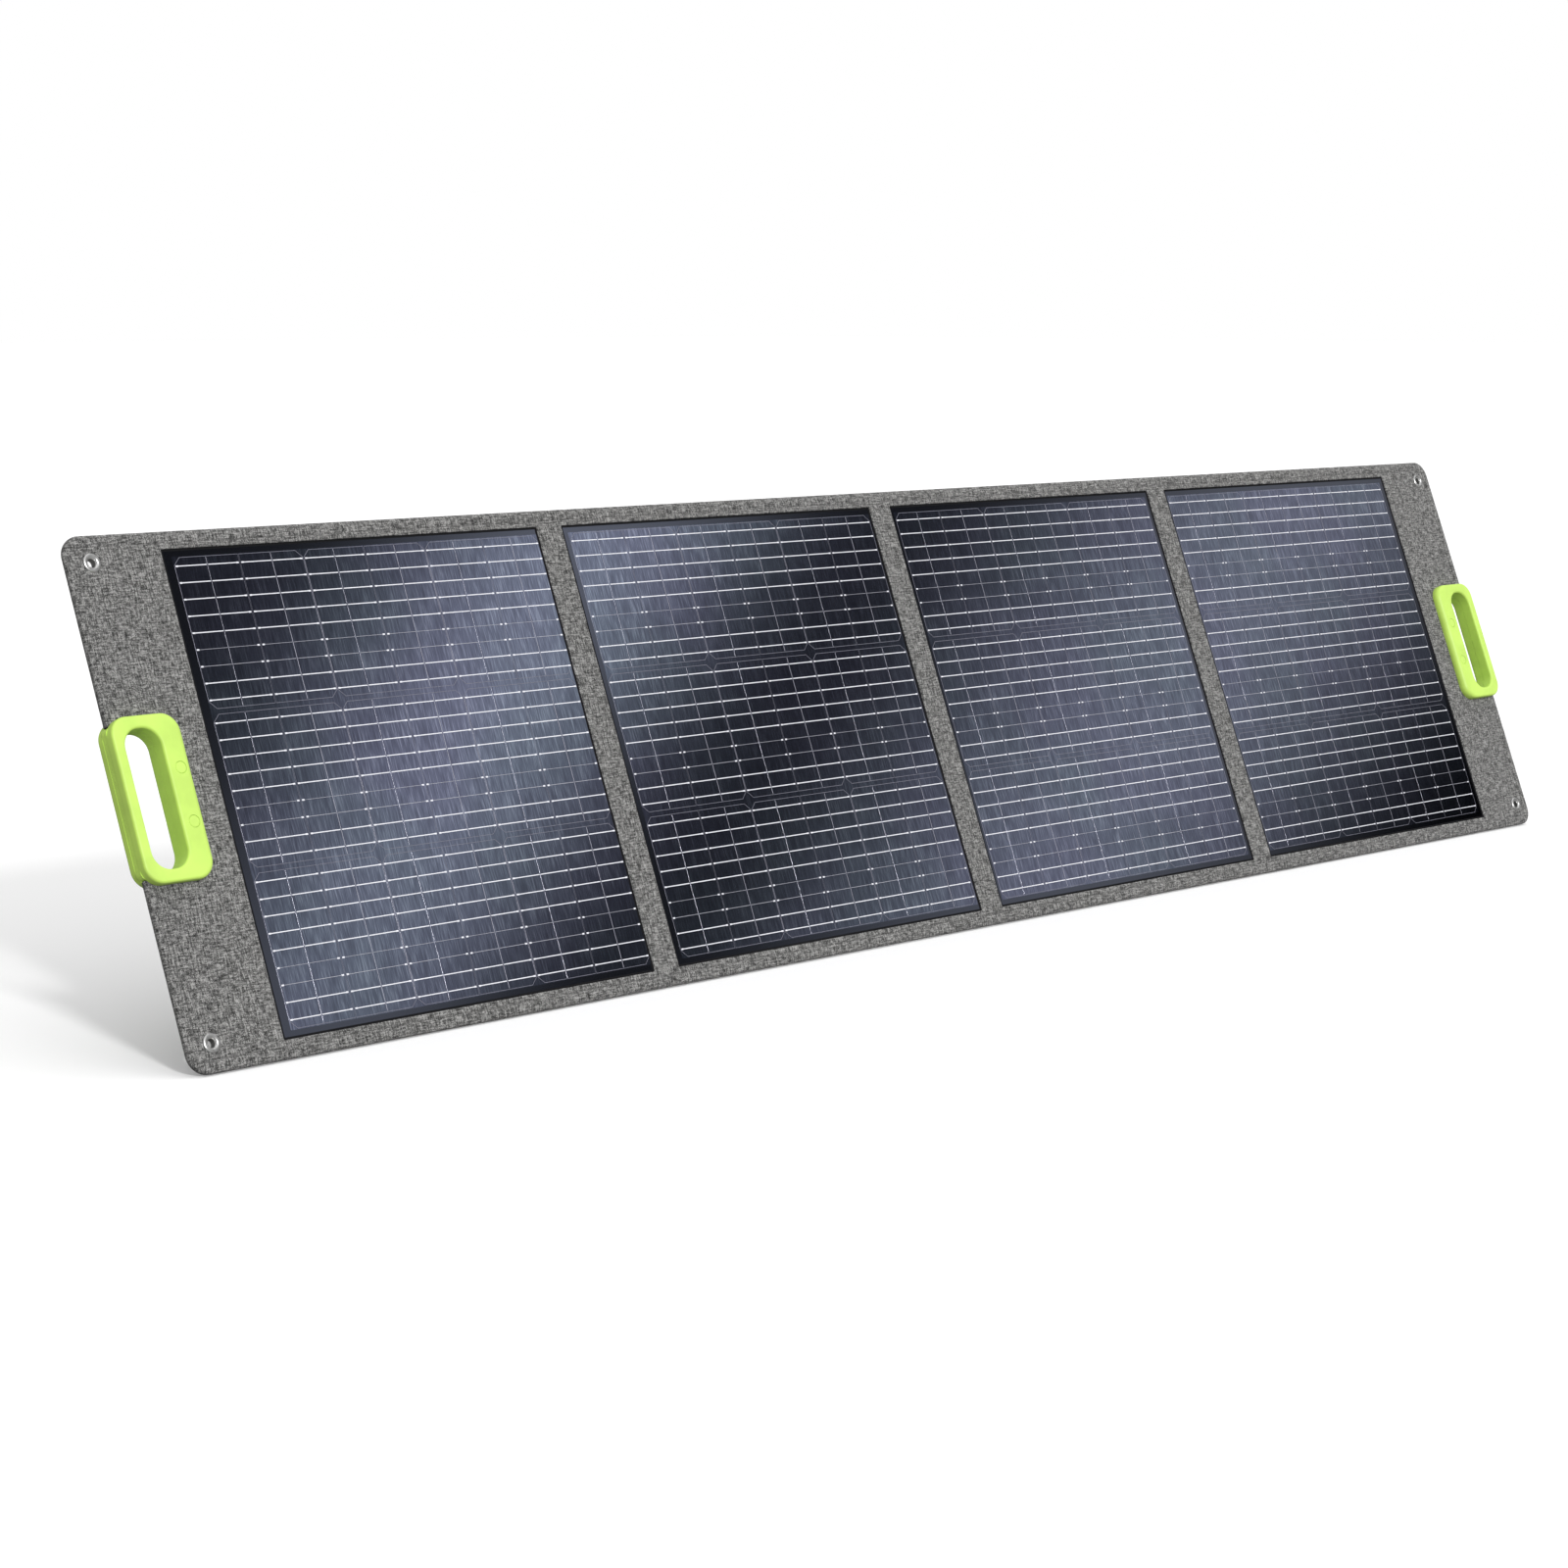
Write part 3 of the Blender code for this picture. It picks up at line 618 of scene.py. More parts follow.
def straight_path(x0, x1, row):
    y, normal = (HEIGHT, (0.0, -1.0)) if row else (0.0, (0.0, 1.0))
    return [((x0, y), normal), ((x1, y), normal)]


def panel_span(number):
    """The x of a panel's stiff part, between its bends."""
    left = -END if number == 1 else FOLDS[number - 2] + BEND
    right = END if number == PANELS else FOLDS[number - 1] - BEND
    return left, right


def panel_side(number):
    return {1: -1, PANELS: 1}.get(number, 0)


def edge_rows(shape, path, profile):
    """The rows of an edge, swept along its path; returns the innermost row's indices."""
    rows = []
    for (inset, z), laid in zip(profile, unrolled(profile)):
        points = [(x + nx * inset, y + ny * inset, z) for (x, y), (nx, ny) in path]
        flat = [(x + nx * laid, y + ny * laid) for (x, y), (nx, ny) in path]
        rows.append(shape.row(points, flat))
    shape.loft(rows)
    return rows[-1]


def notch_points(side, z):
    """The cover's cut edge round the handle's spigot, from the lower edge path to the upper one."""
    x0 = -(END - NOTCH_INNER) - NOTCH_CORNER
    y0 = MIDDLE - NOTCH_HEIGHT / 2 + NOTCH_CORNER
    angles = [angle - pi / 2 for angle in quarter(6)]
    points = [(x0 + NOTCH_CORNER * cos(angle), y0 + NOTCH_CORNER * sin(angle)) for angle in angles]
    lower = [(-side * x, y, z) for x, y in points]
    upper = [(x, HEIGHT - y, z) for x, y, z in reversed(lower)]
    return lower + upper


def cover_skin(shape, number, profile, level_z, holes):
    """One face of a panel's cover: sewn edges, and the flat cloth between them and the holes."""
    side = panel_side(number)
    left, right = panel_span(number)
    if side:
        lower, upper = (edge_rows(shape, edge_path(side, row), profile) for row in (0, 1))
        notch = shape.row(notch_points(side, level_z))
        rim = lower + notch + upper[::-1]
        for row in (0, 1):
            y = HEIGHT - EYELET_INSET if row else EYELET_INSET
            holes.append(shape.row(circle(side * (END - EYELET_INSET), y, level_z, EYELET_HOLE, 32)))
    else:
        lower, upper = (edge_rows(shape, straight_path(left, right, row), profile) for row in (0, 1))
        rim = lower + upper[::-1]
    shape.fill(rim, holes)


def laminate_left(number):
    return -END + END_MARGIN + (number - 1) * PITCH


# The cloth's turned edge round a window, as (distance outside the laminate, height)
WINDOW_RADIUS = 0.0015
WINDOW_EDGE = [
    (0.0032, 0.0),
    (0.0024, 0.0),
    (0.0014, -0.00002),
    (0.0006, -0.00014),
    (0.00018, -0.00045),
    (0.0, -0.0009),
    (0.00005, -0.00142),
]


def window(number, spread, radius=0.0, steps=8):
    """A panel's window outline, spread outwards."""
    x0, y0 = laminate_left(number), EDGE_MARGIN
    x1, y1 = x0 + LAMINATE_WIDTH, y0 + LAMINATE_HEIGHT
    return rectangle(x0 - spread, y0 - spread, x1 + spread, y1 + spread, radius, steps)


def add_front_cover(number):
    shape = Shape()
    rows = []
    for (spread, z), laid in zip(WINDOW_EDGE, unrolled(WINDOW_EDGE[::-1])[::-1]):
        radius = WINDOW_RADIUS + spread
        rows.append(shape.row(level(window(number, spread, radius, 4), z), window(number, laid, radius, 4)))
    shape.loft(rows, closed=True)
    cover_skin(shape, number, FRONT_EDGE, 0.0, [rows[0]])
    piece = shape.make(f"front_fabric_{number}", f"panel_{number}", "fabric", facing=1)
    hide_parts(f"cover_front_{number}")


def add_rear_cover(number):
    shape = Shape()
    cover_skin(shape, number, REAR_EDGE, BACK, [])
    piece = shape.make(f"rear_fabric_{number}", f"panel_{number}", "rear_fabric", facing=-1)
    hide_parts(f"cover_rear_{number}")


def crease(x, fold):
    """How much the covers keep of their height over the centre plane, near a fold."""
    return 1 - CREASE_DEPTH * (0.5 + 0.5 * cos(pi * (x - fold) / BEND))


def blend_over(piece):
    """Bakes a piece's place into its mesh, where it rides on no panel."""
    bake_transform(piece)


def add_fold_skin(index, profile, name, finish, facing):
    """The cloth over a fold: a fine grid across the bend, joined to the covers each side of it."""
    columns, spans = 26, 30
    fold = FOLDS[index]
    edge = [(inset, laid, z) for (inset, z), laid in zip(profile, unrolled(profile))]
    inner, level_z = profile[-1]
    between = [inner + (HEIGHT - 2 * inner) * step / spans for step in range(1, spans)]
    section = edge + [(y, y, level_z) for y in between]
    section += [(HEIGHT - inset, HEIGHT - laid, z) for inset, laid, z in reversed(edge)]
    shape = Shape()
    rows = []
    for step in range(columns + 1):
        x = fold - BEND + 2 * BEND * step / columns
        keep = crease(x, fold)
        points = [(x, y, CENTRE + (z - CENTRE) * keep) for y, _, z in section]
        rows.append(shape.row(points, [(x, laid) for _, laid, _ in section]))
    shape.loft(rows)
    blend_over(shape.make(name, None, finish, facing=facing))


def add_stitches(name, paths, profile, body, fold=None):
    """Raised thread stitches in a seam groove, end to end along each path."""
    seam_z = next(z for inset, z in profile if inset == SEAM_INSET)
    outward = 1 if profile is FRONT_EDGE else -1
    shape = Shape()
    for path in paths:
        line = [Vector((x + nx * SEAM_INSET, y + ny * SEAM_INSET)) for (x, y), (nx, ny) in path]
        add_thread(shape, line, seam_z, outward, fold)
    return shape.make(name, body, "thread")


def add_thread(shape, line, seam_z, outward, fold=None):
    """Stitches end to end along a line of (x, y) points lying at one height."""
    lengths = [(b - a).length for a, b in zip(line, line[1:])]
    total = sum(lengths)
    count = int(total / STITCH_PITCH)
    for number in range(count):
        start = (number + 0.5) * total / count - STITCH_LENGTH / 2
        add_stitch(shape, line, lengths, start, seam_z, outward, fold)


def along(line, lengths, distance):
    """The point at a distance along a line, and the way ahead there."""
    for a, b, length in zip(line, line[1:], lengths):
        if distance <= length or b is line[-1]:
            return a + (b - a) * (distance / length), (b - a).normalized()
        distance -= length


def add_stitch(shape, line, lengths, start, seam_z, outward, fold):
    """One stitch: a thread that rises out of the cloth and goes back in, following its crease at a fold."""
    half_width, half_height, arch, sides = 0.00042, 0.0003, 0.00018, 6
    rows = []
    for share, size in ((0.0, 0.35), (0.15, 0.8), (0.5, 1.0), (0.85, 0.8), (1.0, 0.35)):
        centre, ahead = along(line, lengths, start + share * STITCH_LENGTH)
        aside = Vector((-ahead.y, ahead.x))
        lift = arch * sin(pi * share)
        ring = []
        for turn in range(sides):
            angle = 2 * pi * turn / sides
            spot = centre + aside * (half_width * size * cos(angle))
            z = seam_z + outward * (lift + half_height * size * sin(angle))
            if fold is not None:
                z = CENTRE + (z - CENTRE) * crease(spot.x, fold)
            ring.append((spot.x, spot.y, z))
        rows.append(shape.row(ring))
    shape.tube(rows)


def add_covers():
    for number in range(1, PANELS + 1):
        add_front_cover(number)
        add_rear_cover(number)
        side = panel_side(number)
        left, right = panel_span(number)
        paths = [edge_path(side, row) if side else straight_path(left, right, row) for row in (0, 1)]
        add_stitches(f"front_seam_{number}", paths, FRONT_EDGE, f"panel_{number}")
        add_stitches(f"rear_seam_{number}", paths, REAR_EDGE, f"panel_{number}")
    for index, fold in enumerate(FOLDS):
        letter = "abc"[index]
        add_fold_skin(index, FRONT_EDGE, f"front_fold_{letter}", "fabric", 1)
        add_fold_skin(index, REAR_EDGE, f"rear_fold_{letter}", "rear_fabric", -1)
        paths = [straight_path(fold - BEND, fold + BEND, row) for row in (0, 1)]
        for face, profile in (("front", FRONT_EDGE), ("rear", REAR_EDGE)):
            blend_over(add_stitches(f"{face}_seam_fold_{letter}", paths, profile, None, fold))


# ---------------------------------------------------------------- solar laminates

CELL = 0.15875
HALF_GAP = 0.0012
ROW_PITCH = 0.16465
HALF = CELL / 2
CHAMFER = 0.0078
CELLS_OFF_CENTRE = [0.0055, 0.0026, -0.0006, -0.0028]
CELL_Z = LAMINATE_FRONT + 0.00006
CELL_ROWS = 3
HALF_COLUMNS = 6
BUSBAR_PITCH = 0.0176
RIBBON_WIDTH = 0.00105
# The nine ribbons' share of that width, from the top; two of them are faint in the photo
RIBBON_SHARES = [1.0, 1.0, 1.0, 1.0, 1.0, 0.4, 0.5, 1.0, 1.0]
RIBBON_RISE = 0.00012
RIBBON_GAP = 0.0010
PAD_LENGTH = 0.0030
PAD_HALF = 0.00085
PAD_RISE = 0.00014
LINE_RISE = 0.00005
SHEET_MARGIN = 0.0012
RIM_WIDTH = 0.0024


def half_cells(number):
    """(x, y, chamfered side) of each half cell's lower left corner."""
    width = HALF_COLUMNS * HALF + (HALF_COLUMNS - 1) * HALF_GAP
    x0 = laminate_left(number) + (LAMINATE_WIDTH - width) / 2 + CELLS_OFF_CENTRE[number - 1]
    y0 = MIDDLE - CELL / 2 - ROW_PITCH
    for row in range(CELL_ROWS):
        for column in range(HALF_COLUMNS):
            yield x0 + column * (HALF + HALF_GAP), y0 + row * ROW_PITCH, -1 if column % 2 == 0 else 1


def half_cell_outline(x, y, side):
    points = [(x, y + CHAMFER), (x + CHAMFER, y), (x + HALF, y)]
    points += [(x + HALF, y + CELL), (x + CHAMFER, y + CELL), (x, y + CELL - CHAMFER)]
    if side > 0:
        points = [(2 * x + HALF - px, py) for px, py in points][::-1]
    return points


def strip(shape, x0, y0, x1, y1, half, z, rise):
    """A flat ribbon from (x0, y0) to (x1, y1) with a slightly crowned top."""
    ahead = Vector((x1 - x0, y1 - y0)).normalized()
    aside = Vector((-ahead.y, ahead.x)) * half
    rows = []
    for x, y in ((x0, y0), (x1, y1)):
        corners = ((-1.0, 0.0), (-0.6, rise), (0.6, rise), (1.0, 0.0))
        rows.append(shape.row([(x + aside.x * out, y + aside.y * out, z + up) for out, up in corners]))
    shape.tube(rows)


def finish_node(node, finish):
    """Gives a CAD node its material, and flat coordinates for the weave."""
    flat = node.data.uv_layers.get("flat") or node.data.uv_layers.new(name="flat")
    to_panel = PANEL.inverted()
    for loop in node.data.loops:
        place = to_panel @ node.data.vertices[loop.vertex_index].co
        flat.data[loop.index].uv = (place.x, place.y)
    node.data.materials.clear()
    node.data.materials.append(MATERIALS[finish])


def cell_sheet(number):
    """The sheet that carries all cells of a laminate."""
    across, along, _ = zip(*half_cells(number))
    x0, y0 = min(across) - SHEET_MARGIN, min(along) - SHEET_MARGIN
    x1, y1 = max(across) + HALF + SHEET_MARGIN, max(along) + CELL + SHEET_MARGIN
    shape = Shape()
    shape.faces.append(tuple(shape.row(level(rectangle(x0, y0, x1, y1, SHEET_MARGIN), CELL_Z))))
    return shape


def add_cell_lines(edges, lines, x, y, side):
    """The bright edges of a half cell, thinner where it was cut in half, and the line down its middle."""
    outline = half_cell_outline(x, y, side)
    for a, b in zip(outline, outline[1:] + outline[:1]):
        cut_edge = abs(a[0] - b[0]) < 1e-6 and abs(a[1] - b[1]) > CELL - 0.001
        strip(edges, *a, *b, 0.00012 if cut_edge else 0.00026, CELL_Z, LINE_RISE)
    middle = x + HALF / 2
    half = 0.00034 if side > 0 else 0.00018
    strip(lines, middle, y + 0.001, middle, y + CELL - 0.001, half, CELL_Z, LINE_RISE)


def add_ribbons(bright, faint, x, y):
    """A half cell's solder ribbons, broken at its middle, with a pad at each end."""
    middle = x + HALF / 2
    x0, x1 = x + RIBBON_GAP, x + HALF - RIBBON_GAP
    for busbar, share in enumerate(RIBBON_SHARES):
        bar_y = y + CELL / 2 + ((len(RIBBON_SHARES) - 1) / 2 - busbar) * BUSBAR_PITCH
        target = bright if share > 0.5 else faint
        for start, end in ((x0, middle - RIBBON_GAP), (middle + RIBBON_GAP, x1)):
            strip(target, start, bar_y, end, bar_y, RIBBON_WIDTH * share / 2, CELL_Z, RIBBON_RISE)
        for end, reach in ((x0, 1), (x1, -1)):
            strip(bright, end, bar_y, end + reach * PAD_LENGTH, bar_y, PAD_HALF, CELL_Z, PAD_RISE)


# The near-black band round a laminate's edge is partly a dark joint and partly painted shade along the
# cover's cut edge
def laminate_rim(number):
    shape = Shape()
    steps = ((-0.0004, 0.0005), (0.0009, 0.0003), (RIM_WIDTH, 0.00003))
    rings = [shape.row(level(window(number, -inset), LAMINATE_FRONT + rise)) for inset, rise in steps]
    shape.loft(rings, closed=True)
    return shape


def add_laminate(number):
    body = f"panel_{number}"
    finish_node(frame["nodes"][f"solar_laminate_{number}"], "laminate")
    edges, lines, bright, faint = Shape(), Shape(), Shape(), Shape()
    for x, y, side in half_cells(number):
        add_cell_lines(edges, lines, x, y, side)
        add_ribbons(bright, faint, x, y)
    cell_sheet(number).make(f"solar_cells_{number}", body, "cell", facing=1)
    edges.make(f"cell_edges_{number}", body, "cell_edge")
    lines.make(f"cell_lines_{number}", body, "cell_line")
    laminate_rim(number).make(f"laminate_rim_{number}", body, "rim", facing=1)
    bright.make(f"ribbons_{number}", body, "ribbon")
    faint.make(f"faint_ribbons_{number}", body, "faint_ribbon")


# ---------------------------------------------------------------- handles and eyelets


def handle_outline(side, outer, inner, height, radius):
    x0, x1 = sorted((side * (END - outer), side * (END - inner)))
    return rectangle(x0, MIDDLE - height / 2, x1, MIDDLE + height / 2, radius, 14)


def add_handle_half(name, side, face, seat, parting, body):
    """Half of a handle: its rounded rim, the seat on the cover, the spigot in the notch and the slot."""
    inward = 1 if seat > face else -1
    outer = (HANDLE_OUTER, HANDLE_INNER, HANDLE_HEIGHT, HANDLE_CORNER)
    spigot = (HANDLE_OUTER + 0.0003, NOTCH_INNER - 0.0003, NOTCH_HEIGHT - 0.0006, NOTCH_CORNER - 0.0003)
    slot = (SLOT_OUTER, SLOT_INNER, SLOT_HEIGHT, SLOT_RADIUS)

    def fall(radius, depth):
        """How far in the edge's round lies, at a depth below the face."""
        return radius - sqrt(max(radius**2 - max(radius - depth, 0.0) ** 2, 0.0))

    def rounded(angle, size, way, shoulder=HANDLE_ROUNDING):
        """One loop of a rounded edge; the side towards the panel may fall away over a wider shoulder."""
        depth = shoulder * (1 - cos(angle))
        inset, inner_inset = way * fall(HANDLE_ROUNDING, depth), way * fall(shoulder, depth)
        near, far, height, radius = size
        outline = handle_outline(side, near + inset, far - inner_inset, height - 2 * inset, radius - inset)
        return level(outline, face + inward * depth)

    loops = [rounded(angle, outer, 1, HANDLE_SHOULDER) for angle in quarter(10)]
    lip = seat - inward * 0.0004
    steps = [(outer, lip), (outer, seat), (spigot, seat), (spigot, parting), (slot, parting)]
    loops += [level(handle_outline(side, *size), z) for size, z in steps]
    loops += [rounded(angle, slot, -1) for angle in reversed(quarter(10))]
    shape = Shape()
    rows = [shape.row(loop) for loop in loops]
    shape.loft(rows + rows[:1], closed=True)
    piece = shape.make(name + "_moulding", body, "lime_plastic")
    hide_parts(name)
    return piece


def bore(piece, x, y, profile):
    """Cuts a turned hole into a piece for good."""
    tool = turned("bore_tool", x, y, profile, None, "lime_plastic", sides=40)
    cut = piece.modifiers.new("bore", "BOOLEAN")
    cut.operation = "DIFFERENCE"
    cut.object = tool
    bpy.context.view_layer.update()
    solid = bpy.data.meshes.new_from_object(piece.evaluated_get(bpy.context.evaluated_depsgraph_get()))
    piece.modifiers.clear()
    piece.data = solid
    piece.data.shade_smooth()
    piece.data.set_sharp_from_angle(angle=radians(30))
    bpy.data.objects.remove(tool)


def add_handle(name, side, body):
    front = add_handle_half(f"{name}_handle_front", side, HANDLE_FRONT, 0.0003, CENTRE + 0.00015, body)
    add_handle_half(f"{name}_handle_rear", side, HANDLE_BACK, BACK - 0.0003, CENTRE - 0.00015, body)
    pocket = [(0.0063, -0.0024), (0.0063, -0.0004), (0.0067, 0.0004)]
    cap = [(0.0020, -0.0020), (0.0060, -0.0020), (0.0061, -0.0006), (0.0058, -0.0002)]
    cap += [(0.0052, -0.0001), (0.0035, -0.00015), (0.0015, -0.0002)]
    pocket, cap = ([(radius, HANDLE_FRONT + z) for radius, z in profile] for profile in (pocket, cap))
    x = side * (END - SCREW_INSET)
    for row, y in (("lower", MIDDLE - SCREW_SPACING / 2), ("upper", MIDDLE + SCREW_SPACING / 2)):
        bore(front, x, y, pocket)
        piece = turned(f"{name}_cap_{row}", x, y, cap, body, "lime_plastic")
        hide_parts(f"{name}_handle_cap_{row}")


def add_eyelets(name, side, body):
    """The two eyelets at one end: a bead and barrel in one, a washer behind, and a darker metal sleeve in the
    bore that paints shade into the hole.
    """
    flange, bore_radius = 0.00975, 0.0045
    bead = [(flange - 0.0002, 0.0001), (flange, 0.0006)]
    angles = [step / 10 * pi for step in range(1, 10)]
    bead += [(0.00755 + 0.0021 * cos(angle), 0.0006 + 0.0011 * sin(angle)) for angle in angles]
    bead += [(0.0053, 0.0006), (0.0047, 0.0001), (bore_radius, -0.0008)]
    barrel = [(bore_radius, BACK + 0.0005), (bore_radius + 0.0003, BACK - 0.0010), (0.0053, BACK - 0.0017)]
    barrel += [(0.0058, BACK - 0.0012), (0.0056, BACK - 0.0003), (0.0056, 0.0001)]
    washer = [(0.0061, BACK - 0.0001), (flange, BACK - 0.0001), (flange, BACK - 0.0006)]
    washer += [(flange - 0.0008, BACK - 0.0012), (0.0070, BACK - 0.0013), (0.0061, BACK - 0.0011)]
    x = side * (END - EYELET_INSET)
    # A darker metal sleeve just inside the bore: painted shade for the inside of the hole
    shade_profile = [(bore_radius - 0.0001, -0.0010), (bore_radius - 0.0001, BACK + 0.0003)]
    shade_profile += [(bore_radius, BACK + 0.0003), (bore_radius, -0.0010)]
    for row, y in (("lower", EYELET_INSET), ("upper", HEIGHT - EYELET_INSET)):
        turned(f"{name}_painted_bore_shade_{row}", x, y, shade_profile, body, "bore_shade_metal", ring=True)
        piece = turned(f"{name}_grommet_{row}", x, y, bead + barrel, body, "plated_metal", ring=True)
        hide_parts(f"{name}_eyelet_{row}")
        piece = turned(f"{name}_grommet_washer_{row}", x, y, washer, body, "plated_metal", ring=True)
        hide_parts(f"{name}_eyelet_washer_{row}")


# ---------------------------------------------------------------- bands of cloth


def curve(points, steps=8):
    """A smooth bend through three control points, without its ends."""
    a, b, c = (Vector(point) for point in points)
    shares = [step / steps for step in range(1, steps)]
    return [tuple(a * (1 - t) ** 2 + b * 2 * t * (1 - t) + c * t * t) for t in shares]


def stations(route):
    """Each point of a route, with the way ahead there and the length so far."""
    run = 0.0
    for index, (y, z) in enumerate(route):
        before, after = route[max(index - 1, 0)], route[min(index + 1, len(route) - 1)]
        ahead = Vector((after[0] - before[0], after[1] - before[1])).normalized()
        if index:
            run += (Vector(route[index]) - Vector(before)).length
        yield y, z, ahead, run


def add_band(name, body, finish, route, x, half, thick, steps=12):
    """A band of cloth across x, following a route of (y, z) points, with soft edges."""
    shape = Shape()
    rows = []
    shares = [-1.0, -0.985] + [-1 + 2 * step / steps for step in range(1, steps)] + [0.985, 1.0]
    for index, (y, z, ahead, run) in enumerate(stations(route)):
        tip = 0.45 if index in (0, len(route) - 1) else 1.0
        ring, flat = [], []
        for face in (1, -1):
            for share in shares[::face]:
                out = face * thick / 2 * tip * (0.4 if abs(share) == 1.0 else 1.0)
                ring.append((x + share * half, y - ahead.y * out, z + ahead.x * out))
                flat.append((share * half, run))
        rows.append(shape.row(ring, flat))
    shape.band(rows)
    return shape.make(name, body, finish)


# ---------------------------------------------------------------- kickstands


def stand_place(side):
    """From a stand's own coordinates, with its hinge at the top and z towards the panel, to the world."""
    hinge = Matrix.Translation((side * STAND_X, STAND_HINGE_Y, STAND_HINGE_Z))
    return PANEL @ hinge @ Matrix.Rotation(STAND_OPEN, 4, "X")


def floor_under(z):
    """Where the floor lies on a stand's own y, at z across the stand."""
    row = stand_place(1)[2]
    return -(row[3] + row[2] * z) / row[1]


STAND_END = floor_under(0.0) + FOOT_SOLE

# A stand's cover, as (inset from its edge, distance from its middle): rolled edge, seam groove, flat face
STAND_EDGE = [
    (0.0003, 0.0001),
    (0.0, 0.0007),
    (0.0003, 0.0015),
    (0.0010, 0.0021),
    (0.0022, 0.0025),
    (0.0042, 0.0026),
    (0.0056, 0.0024),
    (0.0064, 0.0021),
    (0.0072, 0.0024),
    (0.0086, 0.0025),
]
STAND_SEAM = 0.0064


def stand_outline(inset):
    half = STAND_HALF - inset
    return rectangle(-half, STAND_END + inset, half, STAND_TOP - inset, STAND_CORNER - inset)


def add_stand_covers(name, side, body):
    place = stand_place(side)
    for face, outward in (("inner", 1), ("outer", -1)):
        shape = Shape()
        rows = []
        for (inset, depth), laid in zip(STAND_EDGE, unrolled(STAND_EDGE)):
            flat = stand_outline(min(laid, STAND_EDGE[-1][0]))
            rows.append(shape.row(level(stand_outline(inset), outward * depth), flat))
        shape.loft(rows, closed=True)
        shape.faces.append(tuple(rows[-1]))
        piece = shape.make(f"{name}_stand_fabric_{face}", body, "rear_fabric", facing=outward, place=place)
        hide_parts(f"{name}_stand_cover_{face}")

        seam = stand_outline(STAND_SEAM)
        line = [Vector(point) for point in seam + seam[:1]]
        thread = Shape()
        add_thread(thread, line, outward * 0.0022, outward)
        thread.make(f"{name}_stand_seam_{face}", body, "thread", place=place)


def add_foot(name, body):
    """The moulded rubber foot: a sole under the stand's end, with ribbed lips over both faces."""
    grip, rib, bevel = STAND_FACE + 0.0003, 0.0005, 0.0006
    top = STAND_END + FOOT_LIP
    section = []
    for face in (1, -1):
        points = [(floor_under(face * (FOOT_HALF - bevel)), FOOT_HALF - bevel)]
        points.append((floor_under(face * FOOT_HALF) + bevel, FOOT_HALF))
        for groove in range(FOOT_GROOVES):
            y = STAND_END - 0.0010 + groove * GROOVE_PITCH
            points += [(y, FOOT_HALF), (y + 0.0005, FOOT_HALF - rib)]
            points += [(y + 0.0012, FOOT_HALF - rib), (y + 0.0017, FOOT_HALF)]
        points += [(top - bevel, FOOT_HALF), (top, FOOT_HALF - bevel)]
        points += [(top, grip), (STAND_END - 0.0003, grip)]
        points = [(y, face * z) for y, z in points]
        section += points if face > 0 else points[::-1]
    half = FOOT_WIDTH / 2
    shape = Shape()
    rows = []
    for x, shrink in ((-half, bevel), (-half + bevel, 0.0), (half - bevel, 0.0), (half, bevel)):
        ring = []
        for y, z in section:
            out = min(max((abs(z) - grip) / (FOOT_HALF - grip), 0.0), 1.0)
            ring.append((x, y, z - shrink * out * (1 if z > 0 else -1)))
        rows.append(shape.row(ring, [(x, y + z) for x, y, z in ring]))
    shape.loft(rows, closed=True)
    triangles = tessellate_polygon([[Vector((y, z)) for y, z in section]])
    for row in (rows[0], rows[-1]):
        shape.faces += [tuple(row[corner] for corner in triangle) for triangle in triangles]
    piece = shape.make(f"{name}_foot_ribbed", body, "rubber", place=stand_place(-1 if name == "left" else 1))
    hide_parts(f"{name}_stand_foot")


def add_webbing_strap(name, side, body):
    """The stay strap from the panel's back to the stand, box-stitched to the panel."""
    x = side * STAND_X
    to_panel = PANEL.inverted() @ stand_place(side)

    def on_stand(y):
        point = to_panel @ Vector((0.0, y, STAND_FACE + 0.0003 + STRAP_HALF))
        return point.y, point.z

    flat_z = BACK - 0.0004 - STRAP_HALF
    lower, upper = (0.110, flat_z), on_stand(-0.278)
    bend = Vector((0.120, flat_z))
    away, near = bend.lerp(Vector(upper), 0.08), bend.lerp(Vector(upper), 0.94)
    route = [(0.086, flat_z), (0.0866, flat_z), (0.098, flat_z), lower]
    route += curve([lower, tuple(bend), tuple(away)], 6)
    route += [tuple(away.lerp(near, share)) for share in (0.0, 0.25, 0.5, 0.75, 1.0)]
    route += curve([tuple(near), upper, on_stand(-0.285)], 6)
    route += [on_stand(-0.285), on_stand(-0.2994), on_stand(-0.300)]
    piece = add_band(f"{name}_stay_strap", body, "webbing", route, x, STRAP_HALF_WIDTH, 2 * STRAP_HALF, 6)
    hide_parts(f"{name}_stand_strap")
    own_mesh(piece)

    thread = Shape()
    square = rectangle(-0.0100, 0.0880, 0.0100, 0.1040)
    for line in (square + square[:1], square[::2], square[1::2]):
        add_thread(thread, [Vector((x + px, py)) for px, py in line], flat_z - STRAP_HALF + 0.00015, -1)
    thread.make(f"{name}_strap_stitches", body, "pale_thread")


